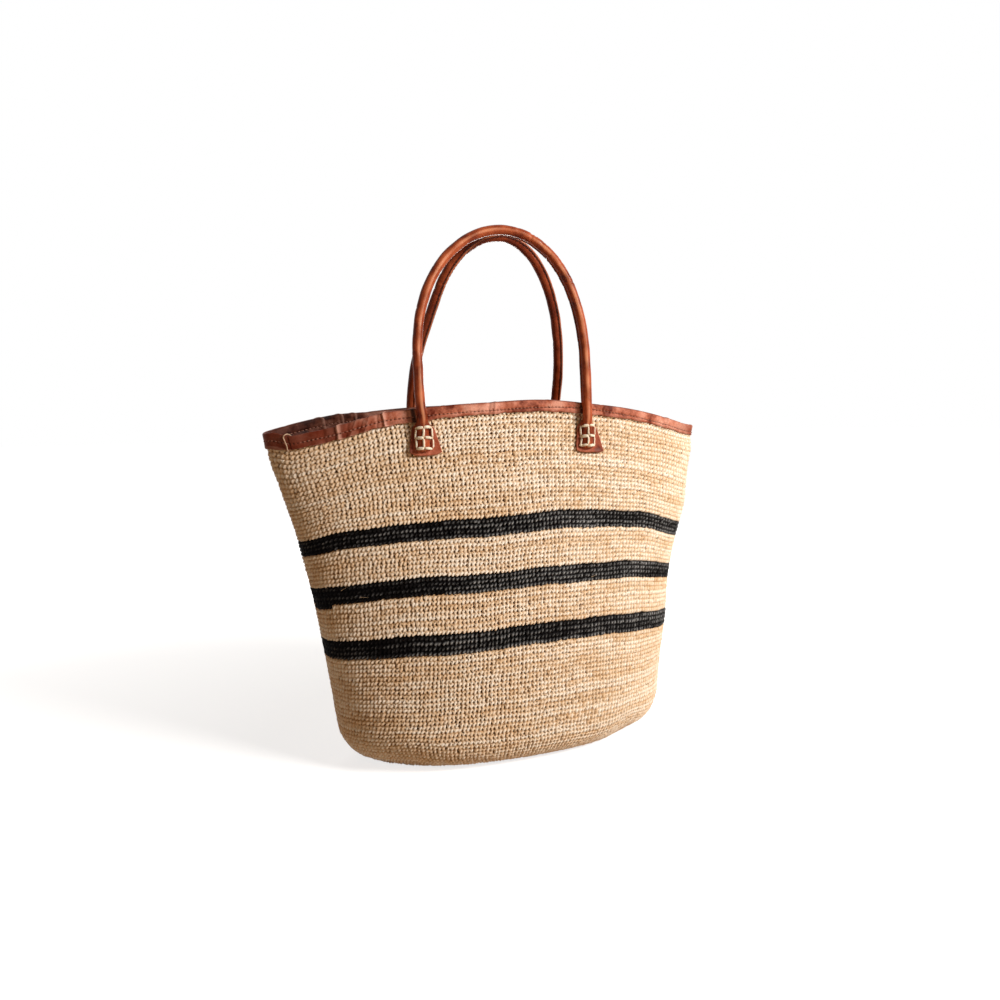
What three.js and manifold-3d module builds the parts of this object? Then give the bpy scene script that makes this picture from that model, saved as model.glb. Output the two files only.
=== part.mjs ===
import * as THREE from 'three';
import { mergeVertices } from 'three/addons/utils/BufferGeometryUtils.js';
import Module from 'manifold-3d';

// Crocheted raffia tote with three dark stripes, a leather rim and two rolled leather handles.
// Millimetres. The origin is the middle of the base on the floor: +X is right, -Y is the front, +Z is up.

// Body outline
const bagHeight = 345;
const endHeight = 319;
const rimArch = 2.6;
const mouthHalfWidth = 228;
const mouthHalfDepth = 40;
const baseHalfWidth = 170;
const baseHalfDepth = 92;
const baseEdgeRadius = 40;
const flarePower = 1.6;
const planPower = 2.2;
const crochetThickness = 3.6;

// Heights of the crocheted sections at the middle of the front, from the floor up
const lowerWallHeight = 116.5;
const lowerStripeHeight = 19;
const lowerBandHeight = 36;
const middleStripeHeight = 17;
const upperBandHeight = 34.5;
const upperStripeHeight = 17;

// Leather folded over the rim and the threads that hold it
const bindingLeather = 1.4;
const bindingOuterDrop = 13;
const bindingInnerDrop = 13;
const bindingRound = 0.6;
const stitchDrop = 8;
const stitchThread = 0.8;
const jointThread = 1.2;
const jointThreadAngle = 26;
const jointThreadDrop = 14.5;
const jointThreadTuck = 4;

// Rolled handles: a leather sleeve with a sewn seam round a cord
const handleDiameter = 9.2;
const sleeveLeather = 1.2;
const seamDepth = 1.8;
const seamWidth = 2.4;
const handleLift = 2.5;
const neckPivotGap = 0.2;
const neckInwardSwing = 1.5;
const neckClearAngle = 1.5;

// Each handle's line: where its feet stand, its straight legs, its arch and how far it tilts over the mouth
const frontHandleShift = -8;
const frontHandleHalfSpan = 84;
const frontHandleLeg = 41;
const frontHandleRise = 124;
const frontHandleLean = 7;
const frontHandleTilt = 6;
const rearHandleShift = -0.6;
const rearHandleHalfSpan = 80;
const rearHandleLeg = 10.5;
const rearHandleRise = 159;
const rearHandleLean = 3.3;
const rearHandleTilt = 18;

// Flared tabs at the handle ends and the cord that laces them to the wall
const tabLeather = 2.2;
const tabMargin = 0.9;
const tabLeftFlare = 0.6;
const tabRightFlare = 7.5;
const tabTopMargin = 6.5;
const tabBottomMargin = 5.3;
const tabBow = 2.4;
const tabRound = 1.3;
const tabDrop = 0.65;
const leftTabShift = 2.5;
const rightTabShift = -0.5;
const rollHalfWidth = 5.4;
const rollRise = 5.4;
const rollLift = 0.4;
const rollEndShare = 0.84;
const laceCord = 2.4;
const laceRowPitch = 9.6;
const laceSide = 0.8;
const laceSlack = 0.15;

// Gap between pieces that touch
const seat = 0.3;

// Facets
const roundSteps = 52;
const edgeSteps = 3;
const handleSteps = 24;
const sleeveSides = 11;
const cordSides = 8;
const laceSides = 6;
const laceSteps = 6;
const loopSteps = 16;
const rollSides = 10;
const tabCurveSteps = 4;

// Values that follow from the sizes above
const handleRadius = handleDiameter / 2;
const neckPivot = handleRadius + neckPivotGap;
const laceRadius = laceCord / 2;
const laceHoleRadius = laceRadius + seat;
const laceHalfWidth = rollHalfWidth + laceHoleRadius + laceSide;
const tabShoulder = laceHalfWidth + laceHoleRadius + tabMargin;
const tabHeight = tabTopMargin + 2 * laceRowPitch + tabBottomMargin;
const bindingOutside = seat + bindingLeather;
const neckClearance = bindingOutside + seat + stitchThread + seat;
const frontHandle = {
  shift: frontHandleShift,
  halfSpan: frontHandleHalfSpan,
  leg: frontHandleLeg,
  rise: frontHandleRise,
  lean: frontHandleLean,
  tilt: frontHandleTilt,
};
const rearHandle = {
  shift: -rearHandleShift,
  halfSpan: rearHandleHalfSpan,
  leg: rearHandleLeg,
  rise: rearHandleRise,
  lean: -rearHandleLean,
  tilt: rearHandleTilt,
};

const wasm = await Module();
wasm.setup();

function material(colour, roughness) {
  return new THREE.MeshStandardMaterial({ color: colour, roughness, metalness: 0 });
}

function namedMesh(name, geometry, surface) {
  const mesh = new THREE.Mesh(geometry, surface.clone());
  mesh.name = name;
  return mesh;
}

// Solids for joining and cutting
function toSolid(geometry) {
  const bare = geometry.clone();
  bare.deleteAttribute('normal');
  bare.deleteAttribute('uv');
  const merged = mergeVertices(bare, 1e-4);
  const vertProperties = new Float32Array(merged.attributes.position.array);
  const triVerts = new Uint32Array(merged.index.array);
  return new wasm.Manifold(new wasm.Mesh({ numProp: 3, vertProperties, triVerts }));
}

function toGeometry(solid) {
  const mesh = solid.getMesh();
  const geometry = new THREE.BufferGeometry();
  geometry.setAttribute('position', new THREE.BufferAttribute(new Float32Array(mesh.vertProperties), 3));
  geometry.setIndex(new THREE.BufferAttribute(new Uint32Array(mesh.triVerts), 1));
  geometry.computeVertexNormals();
  return geometry;
}

function joined(geometries) {
  return geometries.map(toSolid).reduce((sum, solid) => sum.add(solid));
}

// A closed skin over rings of equal length: the rings close on the first one, or end in flat caps
function loft(rings, closed) {
  const count = rings[0].length;
  const positions = rings.flat().flatMap((point) => point.toArray());
  const index = [];
  const spans = closed ? rings.length : rings.length - 1;
  for (let row = 0; row < spans; row += 1) {
    const next = (row + 1) % rings.length;
    for (let step = 0; step < count; step += 1) {
      const after = (step + 1) % count;
      const a = row * count + step;
      const b = row * count + after;
      const c = next * count + after;
      const d = next * count + step;
      index.push(a, b, c, a, c, d);
    }
  }
  if (!closed) {
    const last = (rings.length - 1) * count;
    for (let step = 1; step < count - 1; step += 1) {
      index.push(0, step + 1, step);
      index.push(last, last + step, last + step + 1);
    }
  }
  const geometry = new THREE.BufferGeometry();
  geometry.setAttribute('position', new THREE.Float32BufferAttribute(positions, 3));
  geometry.setIndex(index);
  geometry.computeVertexNormals();
  return geometry;
}

// The bag's outer surface: a rounded oval plan that narrows in depth and flares in width towards the mouth
function planAt(level) {
  const width = baseHalfWidth + (mouthHalfWidth - baseHalfWidth) * level ** flarePower;
  const depth = baseHalfDepth + (mouthHalfDepth - baseHalfDepth) * level;
  return { width, depth };
}

function rimHeight(across) {
  return endHeight + (bagHeight - endHeight) * (1 - Math.abs(across) ** rimArch);
}

function rounded(value) {
  return Math.sign(value) * Math.abs(value) ** (2 / planPower);
}

function wallPoint(angle, height, outward) {
  const level = height / bagHeight;
  const plan = planAt(level);
  const across = rounded(Math.cos(angle));
  const along = rounded(Math.sin(angle));
  const x = (plan.width + outward) * across;
  const y = (plan.depth + outward) * along;
  return new THREE.Vector3(x, y, level * rimHeight(across));
}

function wallRing(height, outward) {
  const ring = [];
  for (let step = 0; step < roundSteps; step += 1) {
    ring.push(wallPoint((2 * Math.PI * step) / roundSteps, height, outward));
  }
  return ring;
}

function sweptRound(profile) {
  return loft(profile.map(([height, outward]) => wallRing(height, outward)), true);
}

function frontPoint(x, z) {
  let level = 1;
  for (let pass = 0; pass < 12; pass += 1) {
    level = z / rimHeight(x / planAt(level).width);
  }
  const plan = planAt(level);
  const depth = plan.depth * (1 - Math.abs(x / plan.width) ** planPower) ** (1 / planPower);
  return new THREE.Vector3(x, -depth, z);
}

function frontFrame(x, z) {
  const across = frontPoint(x + 1, z).sub(frontPoint(x - 1, z)).normalize();
  const climb = frontPoint(x, z + 1).sub(frontPoint(x, z - 1));
  const outward = across.clone().cross(climb).normalize();
  const up = outward.clone().cross(across);
  return new THREE.Matrix4().makeBasis(across, up, outward).setPosition(frontPoint(x, z));
}

// Crocheted base and wall sections
function basePanel() {
  const below = planAt(0);
  const above = planAt(crochetThickness / bagHeight);
  const width = Math.min(below.width, above.width) - baseEdgeRadius - seat;
  const depth = Math.min(below.depth, above.depth) - baseEdgeRadius - seat;
  const outline = [];
  for (let step = 0; step < roundSteps; step += 1) {
    const angle = (2 * Math.PI * step) / roundSteps;
    const x = width * rounded(Math.cos(angle));
    const y = depth * rounded(Math.sin(angle));
    outline.push(new THREE.Vector2(x, y));
  }
  const shape = new THREE.Shape(outline);
  return new THREE.ExtrudeGeometry(shape, { depth: crochetThickness, bevelEnabled: false });
}

function edgeArc(radius) {
  const points = [];
  for (let step = 0; step <= edgeSteps; step += 1) {
    const turn = (Math.PI / 2) * (step / edgeSteps);
    points.push([baseEdgeRadius - radius * Math.cos(turn), radius * Math.sin(turn) - baseEdgeRadius]);
  }
  return points;
}

function lowerWall() {
  const top = lowerWallHeight - seat / 2;
  const middle = (baseEdgeRadius + top) / 2;
  const outside = [...edgeArc(baseEdgeRadius), [middle, 0], [top, 0]];
  const inner = -crochetThickness;
  const inside = [...edgeArc(baseEdgeRadius + inner), [middle, inner], [top, inner]];
  return sweptRound([...outside, ...inside.reverse()]);
}

function wallSection(bottom, top) {
  return sweptRound([[bottom, 0], [top, 0], [top, -crochetThickness], [bottom, -crochetThickness]]);
}

function sideLine(bottom, bindingEdge, top, outward) {
  const heights = [bottom, (bottom + bindingEdge) / 2, bindingEdge, top];
  return heights.map((height) => [height, outward]);
}

function upperWall(bottom) {
  const top = bagHeight - bindingLeather - seat;
  const outside = sideLine(bottom, bagHeight - bindingOuterDrop, top, 0);
  const inside = sideLine(bottom, bagHeight - bindingInnerDrop, top, -crochetThickness);
  return sweptRound([...outside, ...inside.reverse()]);
}

function addBody(bag, raffia, darkRaffia) {
  bag.add(namedMesh('base_panel', basePanel(), raffia));
  bag.add(namedMesh('lower_wall', lowerWall(), raffia));
  const sections = [
    ['lower_stripe', lowerStripeHeight, darkRaffia],
    ['lower_band', lowerBandHeight, raffia],
    ['middle_stripe', middleStripeHeight, darkRaffia],
    ['upper_band', upperBandHeight, raffia],
    ['upper_stripe', upperStripeHeight, darkRaffia],
  ];
  let bottom = lowerWallHeight;
  for (const [name, height, yarn] of sections) {
    const top = bottom + height;
    bag.add(namedMesh(name, wallSection(bottom + seat / 2, top - seat / 2), yarn));
    bottom = top;
  }
  bag.add(namedMesh('upper_wall', upperWall(bottom + seat / 2), raffia));
}

// Leather strip folded over the rim, with its lockstitch and the loop at the strip's joint
function rimBinding() {
  const outside = bindingOutside;
  const inside = -crochetThickness - bindingOutside;
  const shoulder = bagHeight - bindingRound;
  const ceiling = bagHeight - bindingLeather;
  return sweptRound([
    [bagHeight - bindingOuterDrop, seat],
    [bagHeight - bindingOuterDrop, outside],
    [shoulder, outside],
    [bagHeight, outside - bindingRound],
    [bagHeight, inside + bindingRound],
    [shoulder, inside],
    [bagHeight - bindingInnerDrop, inside],
    [bagHeight - bindingInnerDrop, inside + bindingLeather],
    [ceiling, inside + bindingLeather],
    [ceiling, seat],
  ]);
}

function rimStitch(outward) {
  const height = bagHeight - stitchDrop;
  const radius = stitchThread / 2;
  return sweptRound([
    [height - radius, outward],
    [height, outward + radius],
    [height + radius, outward],
    [height, outward - radius],
  ]);
}

function cordSection(radius, sides) {
  const outline = [];
  for (let step = 0; step < sides; step += 1) {
    const angle = (2 * Math.PI * step) / sides;
    outline.push(new THREE.Vector2(radius * Math.cos(angle), radius * Math.sin(angle)));
  }
  return new THREE.Shape(outline);
}

function jointLoop() {
  const angle = Math.PI + THREE.MathUtils.degToRad(jointThreadAngle);
  const clear = seat + jointThread / 2;
  const outside = neckClearance + jointThread / 2;
  const inside = -crochetThickness - bindingOutside - clear;
  const route = [
    [bagHeight - jointThreadDrop, outside],
    [bagHeight - jointThreadDrop / 2, outside],
    [bagHeight, bindingOutside + clear],
    [bagHeight + clear, bindingOutside - clear],
    [bagHeight + clear, inside + 2 * clear],
    [bagHeight, inside],
    [bagHeight - jointThreadTuck, inside],
  ];
  const points = route.map(([height, outward]) => wallPoint(angle, height, outward));
  const path = new THREE.CatmullRomCurve3(points, false, 'centripetal');
  const section = cordSection(jointThread / 2, laceSides);
  return new THREE.ExtrudeGeometry(section, { steps: loopSteps, extrudePath: path, bevelEnabled: false });
}

function addRim(bag, leather, thread, cord) {
  const clear = seat + stitchThread / 2;
  const inside = -crochetThickness - bindingOutside;
  bag.add(namedMesh('rim_binding', rimBinding(), leather));
  bag.add(namedMesh('rim_stitch_outer', rimStitch(bindingOutside + clear), thread));
  bag.add(namedMesh('rim_stitch_inner', rimStitch(inside - clear), thread));
  bag.add(namedMesh('binding_joint_thread', jointLoop(), cord));
}

// Handle line: two straight legs joined by a half oval that can lean to one side
class HandleLine extends THREE.Curve {
  constructor(handle) {
    super();
    this.handle = handle;
  }

  getPoint(t) {
    const { halfSpan, leg, rise, lean } = this.handle;
    const legShare = 0.12;
    if (t < legShare) {
      return new THREE.Vector3(-halfSpan, 0, leg * (t / legShare));
    }
    if (t > 1 - legShare) {
      return new THREE.Vector3(halfSpan, 0, leg * ((1 - t) / legShare));
    }
    const turn = (Math.PI * (t - legShare)) / (1 - 2 * legShare);
    const climb = Math.sin(turn);
    const x = lean * climb ** 2 - halfSpan * Math.cos(turn);
    return new THREE.Vector3(x, 0, leg + rise * climb);
  }
}

function sleeveSection() {
  const half = Math.asin(seamWidth / 2 / handleRadius);
  const outline = [];
  for (let step = 0; step < sleeveSides; step += 1) {
    const angle = (2 * step / (sleeveSides - 1) - 1) * (Math.PI - half);
    outline.push(new THREE.Vector2(handleRadius * Math.cos(angle), handleRadius * Math.sin(angle)));
  }
  outline.push(new THREE.Vector2(-handleRadius - seamDepth, seamWidth / 2));
  outline.push(new THREE.Vector2(-handleRadius - seamDepth, -seamWidth / 2));
  const shape = new THREE.Shape(outline);
  shape.holes.push(cordSection(handleRadius - sleeveLeather, cordSides));
  return shape;
}

// The foot of each leg is cut on a slant that opens inwards, so the handle can tilt over the mouth
function slantedFeet(geometry, handle) {
  const slope = THREE.MathUtils.degToRad(handle.tilt + neckInwardSwing + neckClearAngle);
  const reach = 2 * (handle.halfSpan + handleDiameter);
  const depth = 4 * handleDiameter;
  const block = new THREE.BoxGeometry(reach, depth, depth);
  block.translate(0, 0, seat / 2 - depth / 2);
  block.rotateX(slope);
  block.translate(0, -neckPivot, 0);
  return toGeometry(toSolid(geometry).subtract(toSolid(block)));
}

function handlePart(section, handle) {
  const extrudePath = new HandleLine(handle);
  const bar = new THREE.ExtrudeGeometry(section, { steps: handleSteps, extrudePath, bevelEnabled: false });
  return slantedFeet(bar, handle);
}

// Where the handle's feet stand, seen from its own side of the bag
function handleSeat({ shift, halfSpan }) {
  const feet = [shift - halfSpan, shift + halfSpan];
  const tabs = [feet[0] + leftTabShift, feet[1] + rightTabShift];
  const rims = tabs.map((x) => rimHeight(x / mouthHalfWidth));
  const depths = feet.map((x, foot) => -frontPoint(x, rims[foot]).y);
  const height = Math.max(...rims) + handleLift;
  const depth = Math.max(...depths) + neckClearance + handleRadius;
  return { feet, tabs, rims, height, depth };
}

// The rolled leather runs from the neck down over the binding and flattens onto the tab
function tabRoll(neck, foot) {
  const x = neck.tabs[foot];
  const rim = neck.rims[foot];
  const plateTop = rim - bindingOuterDrop - tabDrop;
  const lastRow = plateTop - tabTopMargin - 2 * laceRowPitch;
  const halfRise = (tabLeather + rollRise) / 2;
  const flat = rollLift + halfRise;
  const endRise = rollEndShare * halfRise;
  const stations = [
    [lastRow - laceHoleRadius - tabMargin, rollLift + endRise, rollEndShare * rollHalfWidth, endRise],
    [lastRow, flat, rollHalfWidth, halfRise],
    [plateTop - tabTopMargin + laceCord, flat, rollHalfWidth, halfRise],
    [rim - bindingOuterDrop, neckClearance + handleRadius, handleRadius, handleRadius],
  ];
  const rings = stations.map(([z, outward, halfWidth, halfDepth]) => {
    return rollRing(x, frontPoint(x, z).y - outward, z, halfWidth, halfDepth);
  });
  rings.push(rollRing(neck.feet[foot], -neck.depth, neck.height - seat / 2, handleRadius, handleRadius));
  return loft(rings, false);
}

function rollRing(x, y, z, halfWidth, halfDepth) {
  const ring = [];
  for (let step = 0; step < rollSides; step += 1) {
    const angle = (2 * Math.PI * step) / rollSides;
    ring.push(new THREE.Vector3(x + halfWidth * Math.cos(angle), y + halfDepth * Math.sin(angle), z));
  }
  return ring;
}

function tabFrame(x, rim) {
  const middle = rim - bindingOuterDrop - tabDrop - tabHeight / 2;
  return frontFrame(x, middle);
}

function tabPlate(frame) {
  const top = tabHeight / 2;
  const shape = new THREE.Shape();
  shape.moveTo(-rollHalfWidth, top);
  shape.quadraticCurveTo(-tabShoulder, top - tabRound, -tabShoulder, top - tabTopMargin);
  shape.quadraticCurveTo(-tabShoulder, 0, -tabShoulder - tabLeftFlare, tabBow - top);
  shape.quadraticCurveTo(0, -top - tabBow, tabShoulder + tabRightFlare, tabBow - top);
  shape.lineTo(tabShoulder, top - tabTopMargin);
  shape.quadraticCurveTo(tabShoulder, top - tabRound, rollHalfWidth, top);
  const leather = { depth: tabLeather, bevelEnabled: false, curveSegments: tabCurveSteps };
  const plate = new THREE.ExtrudeGeometry(shape, leather);
  plate.translate(0, 0, seat);
  return plate.applyMatrix4(frame);
}

function lacePlaces() {
  const places = [];
  for (let row = 0; row < 3; row += 1) {
    for (let column = -1; column <= 1; column += 1) {
      const up = tabHeight / 2 - tabTopMargin - row * laceRowPitch;
      places.push({ across: column * laceHalfWidth, up });
    }
  }
  return places;
}

function post(radius, low, high, across, up) {
  const cylinder = new THREE.CylinderGeometry(radius, radius, high - low, laceSides);
  cylinder.rotateX(Math.PI / 2);
  return cylinder.translate(across, up, (low + high) / 2);
}

function leatherTab(neck, foot) {
  const frame = tabFrame(neck.tabs[foot], neck.rims[foot]);
  const reach = tabLeather + rollRise + handleDiameter;
  const radius = laceHoleRadius / Math.cos(Math.PI / laceSides);
  let solid = joined([tabPlate(frame), tabRoll(neck, foot)]);
  for (const { across, up } of lacePlaces()) {
    solid = solid.subtract(toSolid(post(radius, -reach, reach, across, up).applyMatrix4(frame)));
  }
  return toGeometry(solid);
}

// Height of the lacing's middle line over the wall as it crosses the roll
function laceHeight(across) {
  const clear = seat + laceRadius + laceSlack;
  const halfRise = (tabLeather + rollRise) / 2;
  const flat = seat + tabLeather + clear;
  const share = Math.abs(across) / (rollHalfWidth + clear);
  if (share >= 1) {
    return flat;
  }
  return Math.max(flat, rollLift + halfRise + (halfRise + clear) * Math.sqrt(1 - share ** 2));
}

class CrossStitch extends THREE.Curve {
  constructor(up) {
    super();
    this.up = up;
  }

  getPoint(t) {
    const across = (2 * t - 1) * laceHalfWidth;
    return new THREE.Vector3(across, this.up, laceHeight(across));
  }
}

function crossStitch(up) {
  const section = cordSection(laceRadius, laceSides);
  const extrudePath = new CrossStitch(up);
  return new THREE.ExtrudeGeometry(section, { steps: laceSteps, extrudePath, bevelEnabled: false });
}

function longStitch(across) {
  const length = 2 * laceRowPitch;
  const middle = tabHeight / 2 - tabTopMargin - laceRowPitch;
  const cylinder = new THREE.CylinderGeometry(laceRadius, laceRadius, length, laceSides);
  return cylinder.translate(across, middle, laceHeight(across));
}

// Box lacing: three stitches across, three along and a turn of cord down each of the nine holes
function boxLacing(x, rim) {
  const stitches = [0, 1, 2].map((row) => crossStitch(tabHeight / 2 - tabTopMargin - row * laceRowPitch));
  stitches.push(...[-1, 0, 1].map((column) => longStitch(column * laceHalfWidth)));
  for (const { across, up } of lacePlaces()) {
    stitches.push(post(laceRadius, 2 * seat, laceHeight(across), across, up));
  }
  return toGeometry(joined(stitches)).applyMatrix4(tabFrame(x, rim));
}

// One handle with its tabs and lacing, built on the front and turned about for the rear
function handleSet(side, handle, turn, surfaces) {
  const { leather, cord, waxed } = surfaces;
  const set = new THREE.Group();
  const neck = handleSeat(handle);
  const core = cordSection(handleRadius - sleeveLeather - seat, cordSides);
  const hinge = new THREE.Group();
  hinge.position.set(handle.shift, -neck.depth - neckPivot, neck.height);
  hinge.rotation.x = -THREE.MathUtils.degToRad(handle.tilt);
  hinge.add(namedMesh(`${side}_handle_sleeve`, handlePart(sleeveSection(), handle), leather));
  hinge.add(namedMesh(`${side}_handle_core`, handlePart(core, handle), cord));
  hinge.children.forEach((part) => part.position.set(0, neckPivot, 0));
  set.add(hinge);
  const sides = turn ? ['right', 'left'] : ['left', 'right'];
  sides.forEach((place, foot) => {
    const lacing = boxLacing(neck.tabs[foot], neck.rims[foot]);
    set.add(namedMesh(`${side}_${place}_tab`, leatherTab(neck, foot), leather));
    set.add(namedMesh(`${side}_${place}_lacing`, lacing, waxed));
  });
  set.rotation.z = turn;
  return set;
}

const raffia = material(0xd9b88f, 0.8);
const darkRaffia = material(0x1d1917, 0.6);
const bindingSurface = material(0x8a4630, 0.5);
const handleSurface = material(0x86432a, 0.45);
const threadSurface = material(0x4a2318, 0.7);
const loopSurface = material(0xb98a62, 0.7);
const coreSurface = material(0xc9b79a, 0.9);
const waxedSurface = material(0xeadcc2, 0.6);
const surfaces = { leather: handleSurface, cord: coreSurface, waxed: waxedSurface };

const bag = new THREE.Group();
addBody(bag, raffia, darkRaffia);
addRim(bag, bindingSurface, threadSurface, loopSurface);
bag.add(handleSet('front', frontHandle, 0, surfaces));
bag.add(handleSet('rear', rearHandle, Math.PI, surfaces));

export default bag;
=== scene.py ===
import math

import bpy
import numpy as np
from mathutils import Matrix, Vector


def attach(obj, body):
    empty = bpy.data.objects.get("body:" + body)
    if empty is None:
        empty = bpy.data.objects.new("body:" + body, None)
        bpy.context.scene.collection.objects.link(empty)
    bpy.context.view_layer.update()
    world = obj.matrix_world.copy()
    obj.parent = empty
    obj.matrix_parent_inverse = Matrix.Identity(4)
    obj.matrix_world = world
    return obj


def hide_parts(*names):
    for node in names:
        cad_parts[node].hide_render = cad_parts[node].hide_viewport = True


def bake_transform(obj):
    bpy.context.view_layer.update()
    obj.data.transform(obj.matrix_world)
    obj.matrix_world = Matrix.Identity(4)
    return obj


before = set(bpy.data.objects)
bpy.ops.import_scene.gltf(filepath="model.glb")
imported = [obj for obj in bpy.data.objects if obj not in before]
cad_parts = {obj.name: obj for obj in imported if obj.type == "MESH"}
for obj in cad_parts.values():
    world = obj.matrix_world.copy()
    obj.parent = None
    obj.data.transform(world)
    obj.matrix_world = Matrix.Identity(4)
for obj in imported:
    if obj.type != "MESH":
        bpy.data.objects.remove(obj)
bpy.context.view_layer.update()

# Crocheted raffia tote. Lengths are in millimetres until a mesh is made, which is in metres.

# Body outline, as in the solids
BAG_HEIGHT = 345
END_HEIGHT = 319
RIM_ARCH = 2.6
MOUTH_HALF_WIDTH = 228
MOUTH_HALF_DEPTH = 40
BASE_HALF_WIDTH = 170
BASE_HALF_DEPTH = 92
BASE_EDGE_RADIUS = 40
FLARE_POWER = 1.6
PLAN_POWER = 2.2
CROCHET = 3.6

# Crochet: each section from the floor up, with its length up the wall, its rows and whether it is black
SECTIONS = [
    ("lower_wall", 76.5 + BASE_EDGE_RADIUS * math.pi / 2, 32, False),
    ("lower_stripe", 19, 4, True),
    ("lower_band", 36, 8, False),
    ("middle_stripe", 17, 4, True),
    ("upper_band", 34.5, 8, False),
    ("upper_stripe", 17, 4, True),
    ("upper_wall", 105, 24, False),
]
ROWS = sum(section[2] for section in SECTIONS)
ROW_ENDS = np.cumsum([0] + [section[2] for section in SECTIONS])
PATH_ENDS = np.cumsum([0] + [section[1] for section in SECTIONS])
STITCHES = 218  # in a round of the wall
STITCH_WIDTH = 4.1
ROW_HEIGHT = 4.4
ROUND_LENGTH = 900
STEP_PLACE = 0.498  # of the colour change, as a share of the round
STEP_STITCHES = 8
HOLLOW = -2.3  # lowest level between the strands
DARK_SINK = 0.15
STRAND_HEIGHT = 1.4
GAP_DEPTH = 1.9
INSIDE_LEVEL = -2.6
INSIDE_RELIEF = 0.45
FINENESS = 7  # points across and up a stitch
RING_ROWS = 6
LIP = 0.25
DARK_TUCK = 1.6  # rows that a black section goes on below its own, under the natural ones
TUCK = 0.6
OVERLAP = 0.4
RIM_GAP = 0.9
BASE_STITCHES = (160, 142, 124, 106)  # in the rounds of each part of the base
BASE_ROUNDS = 3
BASE_CHAIN = 2
BASE_PATTERN_ROW = 10  # row of the wall whose stitches the base starts from
BASE_PATTERN_STEP = 4

# Rim binding and its thread
BINDING_DROP = 13
BINDING_OUTSIDE = 1.75
BINDING_INSIDE = -5.35
BINDING_MIDDLE = (BINDING_OUTSIDE + BINDING_INSIDE) / 2
STITCH_DROP = 8
STITCH_PITCH = 3.8
BINDING_COLUMNS = 2400

# Handles, tabs and lacing
HANDLE_RADIUS = 4.6
HANDLE_LIFT = 2.5
NECK_CLEARANCE = 3.1
NECK_PIVOT = 4.8
BEND_BELOW = 8
BEND_ABOVE = 10
SEAM_DEPTH = 1.8
SEAM_WIDTH = 2.4
ROUND_POINTS = 33
SEAM_PITCH = 4.0
CORE_RADIUS = 2.7
CORE_SIDES = 18
ROLL_HALF_WIDTH = 5.4
ROLL_HALF_RISE = 3.8
ROLL_LIFT = 0.4
ROLL_END = 2.6
ROLL_TAPER = 0.84
TAB_TOP = 6.5
TAB_BOTTOM = 5.3
TAB_DROP = 0.65
TAB_NECK = 5.0
TAB_SHOULDER = 10.1
TAB_LEFT_FLARE = 2.2
TAB_RIGHT_FLARE = 7.5
TAB_SHIFTS = (2.5, -0.5)
TAB_BOW = 2.4
TAB_LEATHER = 1.7
LACE_HALF_WIDTH = 7.7
LACE_PITCH = 9.6
LACE_SHIFT = 1.2
LACE_UPRIGHT = 0.95
LACE_BAR = 1.4
TAB_HEIGHT = TAB_TOP + 2 * LACE_PITCH + TAB_BOTTOM
SEAT = 0.3
# Per handle, deep is the painted shade that darkens its leather, and the number after it is the strength of
# the painted highlight down its outer side.
HANDLES = {
    "front": dict(
        shift=-8, half_span=84, leg=41, rise=122.3, crown=0.92, lean=4.8, tilt=6, turned=1, slump=0,
        seam_turn=(0, 50, 0.2, 0.75), deep=0, polish=0.85,
        tab_lower=(0, 2.2), tab_corner=(0, 2.0), lace_lean=(0, -0.14),
    ),
    "rear": dict(
        shift=0.6, half_span=80, leg=10.5, rise=160.3, crown=0.98, lean=-0.1, tilt=18, turned=-1, slump=4.2,
        seam_turn=(-36, 36, 0.38, 0.64), deep=0.6, polish=0.4,
        tab_lower=(0, 0), tab_corner=(0, 0), lace_lean=(0, 0),
    ),
}


# Curves and lines

def smooth(value, low, high):
    """Eases from 0 at low to 1 at high."""
    share = np.clip((value - low) / (high - low), 0, 1)
    return share * share * (3 - 2 * share)


def band(value, low, rise, fall, high):
    """1 between rise and fall, easing to 0 at low and high."""
    return smooth(value, low, rise) * (1 - smooth(value, fall, high))


def hump(value, middle, width, power=2):
    """1 at the middle, fading out on both sides."""
    return np.exp(-(((value - middle) / width) ** power))


def unit(vectors):
    return vectors / (np.linalg.norm(vectors, axis=-1, keepdims=True) + 1e-9)


def travelled(line):
    """Length along a line up to each of its points."""
    return np.concatenate([[0], np.cumsum(np.linalg.norm(np.diff(line, axis=0), axis=1))])


def at_length(places, length, line):
    """Points of a line at places along its length."""
    return np.stack([np.interp(places, length, column) for column in line.T], 1)


def soften(line, rounds):
    """Evens out the corners of a line and keeps its ends."""
    for _ in range(rounds):
        line[1:-1] = (line[:-2] + 2 * line[1:-1] + line[2:]) / 4


def rings_round(line, side, back, across, through):
    """A ring at each point of a line, from how far its points lie across and through the line."""
    return line[:, None] + across[..., None] * side[:, None] + through[..., None] * back[:, None]


# Meshes

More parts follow.
